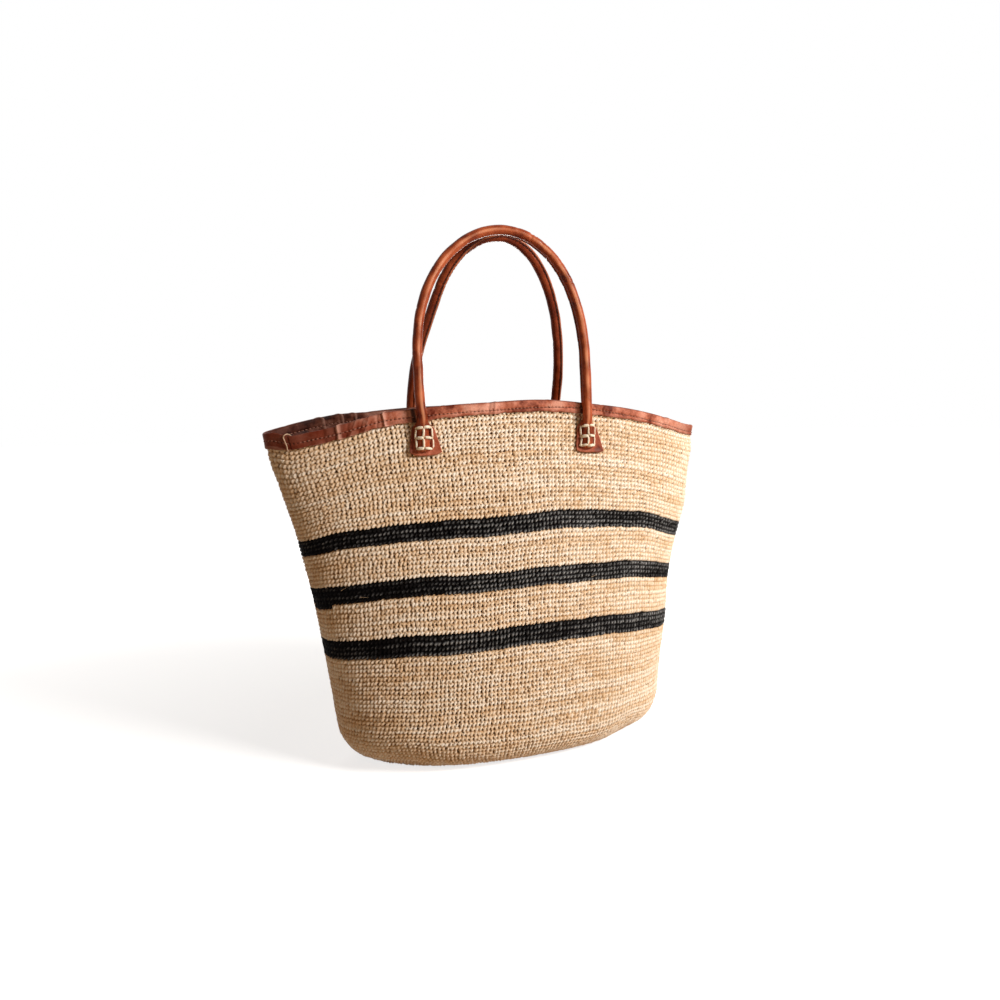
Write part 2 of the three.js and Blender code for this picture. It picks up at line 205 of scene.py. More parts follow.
class Skin:
    """Grids of points, in millimetres, that become one mesh. Marks are four numbers at each point."""

    def __init__(self):
        self.points = []
        self.marks = []
        self.faces = []
        self.maps = []
        self.count = 0

    def add(self, points, marks=None, wrap_rows=False, strips=1):
        """A grid whose columns close into rings. Its flat map is cut into strips."""
        rows, columns = points.shape[:2]
        row_spans = rows if wrap_rows else rows - 1
        row, column = (number.ravel() for number in np.mgrid[0:row_spans, 0:columns])
        corners = [(row, column), (row, column + 1), (row + 1, column + 1), (row + 1, column)]
        numbers = [(r % rows) * columns + c % columns for r, c in corners]
        self.faces.append(np.stack(numbers, 1) + self.count)
        across = -(-columns // strips)
        strip = column // across
        places = [
            ((c - strip * across) / across, (strip + 0.02 + 0.96 * r / row_spans) / strips)
            for r, c in corners
        ]
        self.maps.append(np.stack([np.stack(place, 1) for place in places], 1))
        if marks is None:
            marks = np.full((rows, columns, 4), 0.5)
        self.points.append(points.reshape(-1, 3))
        self.marks.append(marks.reshape(-1, 4))
        self.count += rows * columns

    def mesh(self, name):
        points = np.concatenate(self.points) / 1000
        faces = np.concatenate(self.faces)
        mesh = bpy.data.meshes.new(name)
        mesh.vertices.add(len(points))
        mesh.vertices.foreach_set("co", points.astype(np.float32).ravel())
        mesh.loops.add(faces.size)
        mesh.loops.foreach_set("vertex_index", faces.astype(np.int32).ravel())
        mesh.polygons.add(len(faces))
        mesh.polygons.foreach_set("loop_start", np.arange(0, faces.size, 4, dtype=np.int32))
        mesh.polygons.foreach_set("use_smooth", np.ones(len(faces), bool))
        mesh.update(calc_edges=True)
        marks = mesh.attributes.new("marks", "FLOAT_COLOR", "POINT")
        marks.data.foreach_set("color", np.concatenate(self.marks).astype(np.float32).ravel())
        if len(self.points) == 1:
            layer = mesh.uv_layers.new(name="OFBake")
            layer.data.foreach_set("uv", self.maps[0].astype(np.float32).ravel())
        return mesh

    def piece(self, name, material, slot, *nodes):
        thing = bpy.data.objects.new(name, self.mesh(name))
        bpy.context.scene.collection.objects.link(thing)
        thing.data.materials.append(material)
        if nodes:
            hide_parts(*nodes)
        return thing


def marked(shape, *values):
    """Marks for a grid: each value is a number or an array of the grid's shape."""
    return np.stack([np.broadcast_to(value, shape) for value in values], -1).astype(float)


def tube(path, half_width, half_height, outward, sides):
    """Rings round a path of points. The flat side of the section faces outward."""
    along = unit(np.gradient(path, axis=0))
    side = unit(np.cross(outward, along))
    angle = np.arange(sides) * 2 * np.pi / sides
    across = np.cos(angle) * half_width[:, None]
    through = np.sin(angle) * half_height[:, None]
    return rings_round(path, side, np.cross(along, side), across, through)


# The bag's surface

def rounded(value):
    return np.sign(value) * np.abs(value) ** (2 / PLAN_POWER)


def rim_height(across):
    return END_HEIGHT + (BAG_HEIGHT - END_HEIGHT) * (1 - np.abs(across) ** RIM_ARCH)


def plan(height):
    level = np.maximum(height, 0) / BAG_HEIGHT
    width = BASE_HALF_WIDTH + (MOUTH_HALF_WIDTH - BASE_HALF_WIDTH) * level ** FLARE_POWER
    depth = BASE_HALF_DEPTH + (MOUTH_HALF_DEPTH - BASE_HALF_DEPTH) * level
    return width, depth


def wall(angle, height, outward):
    """Points of the wall. The height is the one in the middle, and the ends are lower in proportion."""
    width, depth = plan(height)
    across = rounded(np.cos(angle))
    along = rounded(np.sin(angle))
    x = (width + outward) * across
    y = (depth + outward) * along
    return np.stack(np.broadcast_arrays(x, y, height / BAG_HEIGHT * rim_height(across)), -1)


def outline(height, outward):
    """Angles round the bag and the points of its outline there, at one height."""
    angle = np.linspace(0, 2 * np.pi, 2881)
    return angle, wall(angle, np.full_like(angle, height), outward)


def equal_angles(share, height, outward):
    """Angles that split the outline into equal lengths: share 0 is the right end and 0.75 the front."""
    angle, points = outline(height, outward)
    length = travelled(points[:, :2])
    return np.interp(share % 1, length / length[-1], angle)


def front_point(x, z):
    """The point of the front at a place across and a height, found by closing in on the outline there."""
    height = np.full(np.shape(x), float(BAG_HEIGHT))
    for _ in range(12):
        height = z / rim_height(x / plan(height)[0]) * BAG_HEIGHT
    width, depth = plan(height)
    y = -depth * (1 - np.abs(x / width) ** PLAN_POWER) ** (1 / PLAN_POWER)
    return np.stack(np.broadcast_arrays(x, y, z), -1)


def swells(x, y, z):
    """Shallow swells in the sides."""
    swell = 1.5 * np.sin(x / 46 + 0.6 + y / 40) * np.sin(z / 52 + 1.1)
    swell += 1.0 * np.sin(x / 29 - 1.3 + z / 75) * np.sin(z / 37 - y / 50)
    facing = unit(np.stack([x / 190**2, y / 64**2, np.zeros_like(x)], -1))
    return facing * (swell * band(z, 8, 60, 262, 300))[..., None]


def end_slack(x, z):
    """How far the slack ends move along the bag."""
    right = 3.4 * hump(z, 242, 26) + 5.4 * band(z, 18, 50, 110, 165) - 7.0 * smooth(z, 292, 318)
    left = 1.8 * band(z, 20, 60, 200, 235) + 3.0 * hump(z, 294, 14)
    return right * smooth(x, 110, 215) - left * smooth(-x, 110, 215)


def rim_rise(x, y):
    """How far the rim rises, or sags at its ends. The front and the back differ."""
    front = 3.4 * hump(x, 28, 50) - 1.5 * smooth(-x, 40, 110)
    front -= 6.3 * band(-x, 112, 176, 200, 224) - 2.4 * smooth(-x, 205, 228)
    front -= 2.0 * band(x, 95, 200, 207, 226)
    back = 2.4 * smooth(-x, 125, 165)
    return front + (back - front) * smooth(y, -3, 9)


def row_sag(x, y, z):
    """How far the rows sag at the ends and a little in the front."""
    high = smooth(z, 150, 235)
    sag = (3.0 + 3.5 * high) * smooth(x, 130, 195) + 3.5 * high * smooth(-x, 165, 205)
    sag += 2.2 * hump(x, -45, 55) * (1 - smooth(y, -20, 20))
    return sag * band(z, 70, 130, 262, 300)


def base_curl(x, y, z):
    """How far the soft edge of the base lifts off the floor in two places of the front."""
    curl = 4.5 * hump(x, -116, 26) + 4.5 * hump(x, 112, 20)
    return curl * band(z, 0, 7, 18, 60) * (1 - smooth(y, -20, 10))


def settle(points):
    """The soft wall gives: swells in its sides, slack ends, sagging rows, an uneven rim and base edge."""
    x, y, z = np.moveaxis(points, -1, 0)
    moved = points + swells(x, y, z)
    moved[..., 0] += end_slack(x, z)
    moved[..., 2] += rim_rise(x, y) * smooth(z, 215, 320) - row_sag(x, y, z) + base_curl(x, y, z)
    return moved


def row_profile(row, offset):
    """Height and reach of the wall at a row of stitches, with an offset along the wall's normal."""
    path = np.interp(row, ROW_ENDS, PATH_ENDS)
    turn = np.clip(path / BASE_EDGE_RADIUS, 0, np.pi / 2)
    climb = np.maximum(path - BASE_EDGE_RADIUS * np.pi / 2, 0)
    height = BASE_EDGE_RADIUS * (1 - np.cos(turn)) + climb - offset * np.cos(turn)
    outward = BASE_EDGE_RADIUS * (np.sin(turn) - 1) + offset * np.sin(turn)
    return height, outward


def wavy_rows(share, row):
    """Rows that rise and fall a little round the bag, as hand-worked rounds do."""
    turn = 2 * np.pi * share
    wave = 0.11 * np.sin(3 * turn + row / 5.3) + 0.08 * np.sin(8 * turn - row / 7.1 + 1)
    wave += 0.06 * np.sin(17 * turn + row / 3.9 + 2)
    return row + wave * band(row, 4, 12, 78, 84)


def crochet_points(share, row, offset):
    """Points of a crocheted wall: share is one number a column, row one number a row."""
    points = np.empty(offset.shape + (3,))
    for index, level in enumerate(row):
        height, outward = row_profile(wavy_rows(share, level), offset[index])
        angle = equal_angles(share, *row_profile(level, 0))
        points[index] = wall(angle, height, outward)
    return settle(points)


# Crochet stitches

# The strands' tones paint light and shade: the bead's lighter tone is a painted highlight on its top, and
# the leg and the loop along its top are coloured darker.
STRANDS = [  # the slanting bead of a stitch, its thin left leg and the loop along its top
    dict(across=0.04, up=-0.05, half_width=1.3, half_length=2.5, lean=43, rise=0, dip=0.2, tone=0.3),
    dict(across=-0.4, up=0.12, half_width=0.75, half_length=1.6, lean=-30, rise=-0.5, dip=0.2, tone=-0.08),
    dict(across=0.0, up=0.48, half_width=0.9, half_length=2.7, lean=80, rise=-0.95, dip=0, tone=-0.25),
]


def turned(x, y, lean):
    """Distances across and along a strand that leans to the right by an angle."""
    return x * np.cos(lean) - y * np.sin(lean), x * np.sin(lean) + y * np.cos(lean)


def strand_tones(rng):
    """One strand of raffia covers a run of stitches before the next is joined on."""
    tones = []
    while len(tones) < ROWS * STITCHES:
        tones += [rng.uniform(0.3, 0.7)] * int(rng.integers(12, 46))
    tones = np.array(tones[: ROWS * STITCHES]).reshape(ROWS, STITCHES)
    return np.clip(tones + rng.normal(0, 0.09, tones.shape), 0, 1)


def dark_stitches(phase):
    """Which stitches are black. The middle stripe's colour change leaves a step at the left end."""
    dark = np.zeros((ROWS, STITCHES), bool)
    for (name, _, rows, black), bottom in zip(SECTIONS, ROW_ENDS):
        dark[bottom : bottom + rows] = black
        if name == "middle_stripe":
            first = round(STEP_PLACE * STITCHES - phase[bottom - 1])
            dark[bottom - 1, first : first + STEP_STITCHES] = True
    return dark


class Stitches:
    """The place, lean, lift and tone of every stitch of the wall."""

    def __init__(self, seed):
        rng = np.random.default_rng(seed)
        size = (ROWS, STITCHES)
        row, column = np.mgrid[0:ROWS, 0:STITCHES]
        slack = np.sin(column * 2 * np.pi * 7 / STITCHES + row / 6.1) * np.sin(row / 4.3 + column / 23.0)
        self.phase = np.cumsum(rng.normal(0.13 - 0.15 * np.arange(ROWS) / ROWS, 0.12))
        self.across = rng.normal(0, 0.07, size)
        self.up = rng.normal(0, 0.05, size)
        self.lean = np.radians(rng.normal(0, 7, size) + 6 * slack)
        self.lift = rng.normal(0, 0.14, size)
        self.girth = 1 + rng.normal(0, 0.09, size)
        self.over = rng.normal(0, 0.3, size)
        self.gape = np.clip(rng.normal(0.42, 0.4, size), 0, 1.2)
        self.tone = strand_tones(rng)
        self.dark = dark_stitches(self.phase)
        # Painted shade: black stitches are darker toward the bag's left end, which is turned from the light.
        share = column / STITCHES
        left_end_shade = band(share, 0.40, 0.50, 0.54, 0.70)
        dyed = 0.5 + 0.55 * (self.tone - 0.5) - 0.24 * left_end_shade
        self.tone = np.where(self.dark, dyed, self.tone)

    def relief(self, column, row, dark):
        """Height over the wall and marks (tone, depth, across and along the strand) of one yarn."""
        floor = HOLLOW - DARK_SINK * dark
        height = np.full(column.shape, floor)
        gap = np.zeros(column.shape)
        marks = marked(column.shape, 0.5, 0, 0.5, 0.5)
        for step_up in (-1, 0, 1):
            number = np.floor(row).astype(int) + step_up
            here = np.clip(number, 0, ROWS - 1)
            place = column - self.phase[here]
            for step_along in (-1, 0, 1):
                stitch = np.floor(place).astype(int) + step_along
                key = here, stitch % STITCHES
                worked = (number == here) & (self.dark[key] == dark)
                x = (place - stitch - 0.5 - self.across[key]) * STITCH_WIDTH
                y = (row - number - 0.5 - self.up[key]) * ROW_HEIGHT
                for turn, strand in enumerate(STRANDS):
                    lift = self.lift[key] + (turn == 1) * self.over[key]
                    self.lay(strand, key, x, y, lift, worked, height, marks)
                gap = np.maximum(gap, self.gape[key] * needle_gap(x, y))
        height = np.maximum(height - GAP_DEPTH * gap, floor)
        # The depth mark carries painted shade: the lower a point lies between the strands, the darker its
        # colour is painted.
        marks[..., 1] = np.clip((height - HOLLOW) / -HOLLOW, 0, 1)
        return height, marks

    def lay(self, strand, key, x, y, lift, worked, height, marks):
        """Lays one strand of each stitch over what is there, where it stands higher."""
        lean = self.lean[key] + math.radians(strand["lean"])
        across, along = turned(x - strand["across"] * STITCH_WIDTH, y - strand["up"] * ROW_HEIGHT, lean)
        across = across / (strand["half_width"] * self.girth[key])
        along = along / strand["half_length"]
        edge = np.abs(across) ** 2.1 + np.abs(along) ** 2.3
        crown = np.clip(1 - edge, 0, 1) ** 0.42
        level = strand["rise"] + lift + STRAND_HEIGHT * (crown - 1) - strand["dip"] * along
        level = np.where(worked & (edge < 1), level, HOLLOW - 1)
        won = level > height
        height[won] = level[won]
        tone = np.clip(self.tone[key] + strand["tone"], 0, 1)
        marks[won, 0] = tone[won]
        marks[won, 2] = 0.5 + 0.5 * across[won]
        marks[won, 3] = 0.5 + 0.5 * along[won]


def needle_gap(x, y):
    """The small dark gap between the feet of two neighbouring beads."""
    across, along = turned(x + 0.45 * STITCH_WIDTH, y + 0.36 * ROW_HEIGHT, math.radians(32))
    return hump(across, 0, 0.45) * hump(along, 0, 0.85)


def crochet_ring(stitches, first, last, dark):
    """One closed ring of crochet, with a fine outside, a plainer inside and a lip under the next ring."""
    count = max(1, round(last - first - 0.3))
    outside = np.concatenate([[first - LIP], np.linspace(first, last, count * FINENESS + 1), [last + LIP]])
    inside = np.concatenate([[last + LIP], np.linspace(last, first, count * 2 + 1), [first - LIP]])
    column = np.arange(STITCHES * FINENESS) / FINENESS
    height, marks = stitches.relief(*np.meshgrid(column, outside), dark)
    back, back_marks = stitches.relief(*np.meshgrid(column, inside), dark)
    depth = INSIDE_LEVEL - INSIDE_RELIEF * (back - HOLLOW)
    height[[0, -1]] -= LIP
    depth[[0, -1]] += LIP
    share = column / STITCHES
    outer = crochet_points(share, outside, height)
    inner = crochet_points(share, inside, depth)
    skin = Skin()
    skin.add(np.concatenate([outer, inner]), np.concatenate([marks, back_marks]), wrap_rows=True, strips=4)
    return skin


def make_walls(stitches, natural, black):
    """Every section of the wall, split into rings of a few rows."""
    for (name, _, rows, dark), bottom in zip(SECTIONS, ROW_ENDS):
        parts = -(-rows // RING_ROWS)
        starts = np.round(np.linspace(bottom, bottom + rows, parts + 1))
        if bottom > 0:
            starts[0] -= DARK_TUCK if dark else TUCK
        starts[-1] += OVERLAP if bottom + rows < ROWS else -RIM_GAP
        for part in range(parts):
            skin = crochet_ring(stitches, starts[part], starts[part + 1], dark)
            label = f"crochet_{name}" if parts == 1 else f"crochet_{name}_{part + 1}"
            slot = "dark_raffia" if dark else "natural_raffia"
            piece = skin.piece(label, black if dark else natural, slot, name)
            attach(piece, "bag")


def make_base(stitches, natural):
    """Flat rounds worked outward from a chain in the middle of the base, in parts of a few rounds."""
    skin = Skin()
    edges = np.linspace(BASE_HALF_DEPTH - BASE_EDGE_RADIUS, BASE_CHAIN, len(BASE_STITCHES) + 1)
    for part, count in enumerate(BASE_STITCHES):
        column = np.arange(count * FINENESS) / FINENESS
        first = BASE_PATTERN_ROW + BASE_PATTERN_STEP * part
        row = np.linspace(first, first + BASE_ROUNDS, BASE_ROUNDS * FINENESS + 1)
        height, marks = stitches.relief(*np.meshgrid(column, row), False)
        rings = []
        for half_depth in np.linspace(edges[part], edges[part + 1], len(row)):
            inset = half_depth - BASE_HALF_DEPTH
            angle = equal_angles(column / count, 0, inset)
            rings.append(wall(angle, np.zeros_like(angle), inset))
        under = np.array(rings)
        inside = under[::-1].copy()
        under[..., 2] = -height
        inside[..., 2] = CROCHET + 0.5 * height[::-1]
        skin.add(np.concatenate([inside, under]), np.concatenate([marks[::-1], marks]), wrap_rows=True)
    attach(skin.piece("crochet_base", natural, "natural_raffia", "base_panel"), "bag")


# Rim binding

CREASES = [  # share of the way round, width (mm), how far it stands out (mm), slant (mm along a mm down)
    (0.578, 2.4, 2.0, 0.1), (0.5855, 1.8, -0.8, 0.4), (0.592, 1.7, 0.7, 0.6), (0.5985, 1.7, -0.6, 0.6),
    (0.605, 1.8, 0.7, 0.5), (0.6135, 1.6, -0.8, 0.2), (0.621, 1.8, 2.0, 0.0), (0.563, 2.5, -0.8, 0.1),
    (0.672, 2.0, -0.4, 0.1), (0.724, 1.8, -0.8, 0.2), (0.7305, 1.6, 0.7, 0.2), (0.79, 3.0, 0.5, -0.1),
    (0.8505, 1.6, -1.0, -0.1), (0.9345, 2.0, -0.9, 0.1), (0.941, 1.8, 0.9, 0.1), (0.965, 1.8, -0.5, 0.0),
    (0.985, 2.0, 0.6, 0.0), (0.02, 2.6, 0.5, 0.1), (0.05, 2.2, -0.6, 0.1), (0.13, 2.4, 0.8, 0.1),
    (0.22, 3.0, -0.7, 0.1), (0.30, 2.6, 0.7, 0.1), (0.385, 2.4, -0.7, 0.1), (0.4005, 2.0, 1.0, 0.0),
    (0.4155, 1.8, 1.2, 0.0), (0.436, 2.0, 1.2, 0.0), (0.47, 2.4, -0.7, 0.0),
]
JOINT = 0.532
JOINT_ROUTE = [  # share of the way round past the joint, drop below the rim (mm), reach outward (mm)
    (-0.0025, 3.5, -6.1), (-0.0025, 0.6, -5.9), (-0.002, -1.0, -3.0), (-0.0012, -1.2, 0.2),
    (-0.002, 0.6, 2.7), (-0.0038, 2.8, 3.1), (-0.0038, 5.2, 3.1), (-0.003, 8.0, 3.1),
    (-0.0025, 11.0, 3.1), (-0.003, 13.4, 2.8), (-0.0035, 15.4, 1.2),
]
# Shares of the rim where a painted shadow lies beside the rolls of the front handle.
HANDLE_SHADOWS = (0.6485, 0.8253)
RIM_LENGTH = travelled(outline(BAG_HEIGHT, 0)[1])[-1]
RIM_STITCHES = round(RIM_LENGTH / STITCH_PITCH)


def binding_section():
    """Drop below the rim and reach outward, up the outside, over the fold, down the inside and back."""
    fold = np.linspace(0, np.pi, 13)
    half = (BINDING_OUTSIDE - BINDING_INSIDE) / 2
    outside = [(drop, BINDING_OUTSIDE) for drop in np.linspace(BINDING_DROP - 0.4, 1.9, 19)]
    top = [
        (1.6 - 1.6 * math.sin(turn) ** 0.7, BINDING_MIDDLE + half * math.cos(turn))
        for turn in fold[1:-1]
    ]
    inside = [(drop, BINDING_INSIDE) for drop in np.linspace(1.9, BINDING_DROP - 0.4, 15)]
    hidden = [
        (BINDING_DROP, BINDING_INSIDE + 0.4), (BINDING_DROP, BINDING_INSIDE + 1.1),
        (2.4, BINDING_INSIDE + 1.4), (2.4, 0.3),
        (BINDING_DROP, BINDING_OUTSIDE - 1.1), (BINDING_DROP, BINDING_OUTSIDE - 0.4),
    ]
    return np.array(outside + top + inside + hidden)


def rim_points(share, drop, outward):
    """Points by their share of the way round the rim, drop below it and reach outward."""
    angle = equal_angles(share, BAG_HEIGHT, 0)
    return settle(wall(angle, BAG_HEIGHT - drop, outward))


def along_rim(share, place):
    """Distance round the rim from a place on it."""
    return ((share - place + 0.5) % 1 - 0.5) * RIM_LENGTH


def stitch_line(share):
    """Drop of the sewing line, which strays upward beside the front right tab."""
    return STITCH_DROP - 2.2 * hump(share, 0.832, 0.04)


def rim_creases(share, drop):
    """How far the binding stands out at its creases."""
    return sum(
        rise * hump(along_rim(share, place) + slant * (drop - 6), 0, width)
        for place, width, rise, slant in CREASES
    )


def make_binding(leather, rng):
    """Folded leather with creases, needle holes, a lapped joint and an uneven hem."""
    share = np.arange(BINDING_COLUMNS) / BINDING_COLUMNS
    turn = 2 * np.pi * share
    drop, outward = (np.repeat(column[:, None], len(share), 1) for column in binding_section().T)
    outside = outward >= BINDING_MIDDLE
    face = smooth(np.abs(outward - BINDING_MIDDLE), 2.2, 3.5) * np.where(outside, 1, -1)
    bulge = np.zeros_like(drop)
    for lobes in (5, 11, 23, 41, 67):
        bulge += 0.16 * np.sin(lobes * turn + rng.uniform(0, 6) + drop * rng.uniform(-0.3, 0.3))
    below_line = drop - stitch_line(share)
    crease = rim_creases(share, drop) * (1 - 0.5 * smooth(np.abs(below_line), 1, 0))
    needle = (share * RIM_STITCHES + 0.5) % 1 - 0.5
    hole = hump(needle * STITCH_PITCH, 0, 0.85) * hump(below_line, 0, 0.7)
    past_joint = along_rim(share, JOINT)
    joint = 0.8 * hump(past_joint, 0, 0.6)
    lift = bulge + crease * np.where(outside, 1, 0.8) - 0.4 * hump(below_line, 0, 1.3)
    lift += 0.7 * band(past_joint, 0, 0.9, 5, 16) - joint - 0.8 * hole
    hem = 0.25 * np.sin(29 * turn + 1) + 0.22 * np.sin(47 * turn) + 0.2 * np.sin(83 * turn + 2)
    hem += 2.6 * hump(share, 0.508, 0.016) - 1.7 * smooth(share, 0.62, 0.7)
    drop = drop + hem * smooth(drop, 9, 13)
    drop = drop - smooth(drop, 2.5, 0) * np.maximum(crease, -0.4) * 0.5
    points = rim_points(share, drop, outward + face * lift)
    # Paler at the tops of the creases, partly as creased pull-up leather and partly as a painted highlight
    # on the puckers, and along the cut hem.
    wear_and_sheen = np.clip(0.42 * np.maximum(crease, 0) + 0.4 * smooth(drop, 12, 13), 0, 1)
    # Painted shadow: a near-black strip on the outside of the binding just left of each front handle's roll,
    # where the roll shades it.
    rubs_and_shadows = sum(hump(along_rim(share, place), 0, 2.4, 4) for place in HANDLE_SHADOWS)
    closed = 1 - np.maximum(np.maximum(hole, joint), 0.95 * rubs_and_shadows * outside)
    # Painted shade: darker towards the rim's left end, which is turned from the light. The colour is also
    # darker near the right end, in a strip below the sewing line and at the top of the fold.
    deep = hump(share, 0.52, 0.075, 4) + 0.6 * hump(share, 0.985, 0.025)
    deep += 0.35 * band(share, 0.5, 0.58, 0.6, 0.66)
    deep = np.maximum(deep, np.maximum(0.4 * smooth(drop, 8.5, 10.5), 0.75 * smooth(drop, 2.0, 0.4)))
    skin = Skin()
    marks = marked(drop.shape, wear_and_sheen, closed, outside, deep)
    skin.add(points, marks, wrap_rows=True, strips=6)
    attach(skin.piece("leather_binding", leather, "binding_leather", "rim_binding"), "bag")


def make_rim_stitches(name, thread, node, outward, facing):
    """Short dashes of thread between the needle holes."""
    skin = Skin()
    dash = np.linspace(0.22, 0.78, 7)
    rise = facing * (0.32 * np.sin(np.pi * np.linspace(0.02, 0.98, 7)) - 0.35)
    girth = 0.1 + 0.34 * np.sin(np.pi * np.linspace(0.03, 0.97, 7)) ** 0.5
    for number in range(RIM_STITCHES):
        share = (number + dash) / RIM_STITCHES
        drop = stitch_line(share)
        bulge = 0.5 * rim_creases(share, drop) * (1 if facing > 0 else 0.8)
        path = rim_points(share, drop, outward + rise + facing * bulge)
        out = rim_points(share, drop, outward + rise + facing * (bulge + 1)) - path
        skin.add(tube(path, girth, girth, out, sides=6))
    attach(skin.piece(name, thread, "rim_thread", node), "bag")


def make_joint_thread(cord):
    """A hook of thread over the rim where the ends of the binding meet."""
    knots = np.linspace(0, 1, len(JOINT_ROUTE))
    share, drop, outward = at_length(np.linspace(0, 1, 60), knots, np.array(JOINT_ROUTE)).T
    path = rim_points(JOINT + share, drop, outward)
    soften(path, 6)
    skin = Skin()
    girth = 0.58 * np.minimum(1, np.minimum(np.arange(60), np.arange(60)[::-1]) / 3 + 0.05)
    skin.add(tube(path, girth, girth, (0, -1, 0.2), sides=10))
    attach(skin.piece("joint_loop", cord, "joint_thread", "binding_joint_thread"), "bag")


# Handles and tabs, drawn on the front and turned about for the rear

class HandleSet:
    """One handle's lines and places, with its two feet and their tabs."""

    def __init__(self, side):
        vars(self).update(HANDLES[side])
        self.side = side
        self.tilt = math.radians(self.tilt)
        self.feet = [self.shift - self.half_span, self.shift + self.half_span]
        self.tabs = [foot + step for foot, step in zip(self.feet, TAB_SHIFTS)]
        self.rims = [rim_height(x / MOUTH_HALF_WIDTH) for x in self.tabs]
        depths = [-front_point(x, rim)[1] for x, rim in zip(self.tabs, self.rims)]
        self.height = max(self.rims) + HANDLE_LIFT
        self.depth = max(depths) + NECK_CLEARANCE + HANDLE_RADIUS
        self.names = ("left", "right") if self.turned > 0 else ("right", "left")

    def place(self, points):
        """Points drawn on the front, moved to this handle's side of the bag."""
        return points * np.array([self.turned, self.turned, 1])

    def tab_frame(self, foot):
        """Origin and across, up and outward directions of the tab at one foot."""
        x = self.tabs[foot]
        z = self.rims[foot] - BINDING_DROP - TAB_DROP - TAB_HEIGHT / 2 - self.tab_lower[foot]
        across = unit(front_point(x + 1, z) - front_point(x - 1, z))
        climb = front_point(x, z + 1) - front_point(x, z - 1)
        outward = unit(np.cross(across, climb))
        return front_point(x, z), across, np.cross(outward, across), outward

    def on_tab(self, foot, across, up, outward):
        """Points by their distances across, up and out from the middle of a tab."""
        origin, x, y, z = self.tab_frame(foot)
        across, up, outward = np.broadcast_arrays(across, up, outward)
        return origin + across[..., None] * x + up[..., None] * y + outward[..., None] * z

    def roll_line(self, foot):
        """Points (x, y, z) and half sizes (wide, deep) of the roll from its low end up to the neck."""
        tab, rim = self.tabs[foot], self.rims[foot]
        top_row = rim - BINDING_DROP - TAB_DROP - TAB_TOP - self.tab_lower[foot]
        low_row = top_row - 2 * LACE_PITCH
        flat = ROLL_LIFT + ROLL_HALF_RISE
        stations = np.array([
            [low_row - ROLL_END, ROLL_LIFT + ROLL_TAPER * ROLL_HALF_RISE, ROLL_TAPER * ROLL_HALF_WIDTH, 3.1],
            [low_row, flat, ROLL_HALF_WIDTH, ROLL_HALF_RISE],
            [top_row + 1.5, flat, ROLL_HALF_WIDTH, ROLL_HALF_RISE],
            [rim - BINDING_DROP, NECK_CLEARANCE + HANDLE_RADIUS, HANDLE_RADIUS, HANDLE_RADIUS],
        ])
        z = np.linspace(low_row - ROLL_END, self.height - 5, 60)
        values = stations[0, 1:]
        for low, high in zip(stations, stations[1:]):
            values = values + smooth(z, low[0], high[0])[:, None] * (high[1:] - low[1:])
        wall_y = front_point(np.full_like(z, tab), np.minimum(z, rim - BINDING_DROP))[:, 1]
        rest = smooth(z, rim - BINDING_DROP - 2, self.height - 4)
        y = (wall_y - values[:, 0]) * (1 - rest) - self.depth * rest
        x = tab + (self.feet[foot] - tab) * smooth(z, rim - BINDING_DROP, self.height)
        return np.stack([x, y, z, values[:, 1], values[:, 2]], 1)

    def arch_line(self, clear):
        """Middle line of the arch from neck to neck, tipped over the mouth, from some way up each leg."""
        turn = np.linspace(0, np.pi, 240)
        legs = np.linspace(0, self.leg, 24)[1:-1]
        x = self.lean * np.sin(turn) ** 2 - self.half_span * np.cos(turn)
        x -= self.slump * hump(turn, 2.62, 0.28)
        up = self.leg + self.rise * np.abs(np.sin(turn)) ** self.crown
        x = np.concatenate([np.full(len(legs), -self.half_span), x, np.full(len(legs), self.half_span)])
        up = np.concatenate([legs, up, legs[::-1]])
        y = -self.depth - NECK_PIVOT + NECK_PIVOT * math.cos(self.tilt) + up * math.sin(self.tilt)
        z = self.height - NECK_PIVOT * math.sin(self.tilt) + up * math.cos(self.tilt)
        return np.stack([x + self.shift, y, z], 1)[up > clear]

    def leather_line(self):
        """The whole middle line from foot to foot, with its half sizes, seam and directions."""
        arch = self.arch_line(clear=6)
        arch = np.concatenate([arch, np.full((len(arch), 2), HANDLE_RADIUS)], 1)
        line = np.concatenate([self.roll_line(0), arch, self.roll_line(1)[::-1]])
        length = travelled(line[:, :3])
        even = np.linspace(0, length[-1], 420)
        line = at_length(even, length, line)
        soften(line, 24)
        seam = smooth(line[:, 2], self.height - 14, self.height + 3)
        first, last, start, end = self.seam_turn
        turn = np.radians(first + (last - first) * smooth(even / length[-1], start, end)) * seam
        side, back = section_axes(line[:, :3], turn)
        return {
            "line": line[:, :3], "wide": line[:, 3], "deep": line[:, 4],
            "seam": seam, "side": side, "back": back, "length": even,
        }


def section_axes(line, turn):
    """Directions across and through a handle at each point of its line, turned about its length."""
    along = unit(np.gradient(line, axis=0))
    back = unit(np.array([0, 1, 0]) - along[:, 1:2] * along)
    side = np.cross(back, along)
    cosine, sine = np.cos(turn)[:, None], np.sin(turn)[:, None]
    return side * cosine - back * sine, back * cosine + side * sine


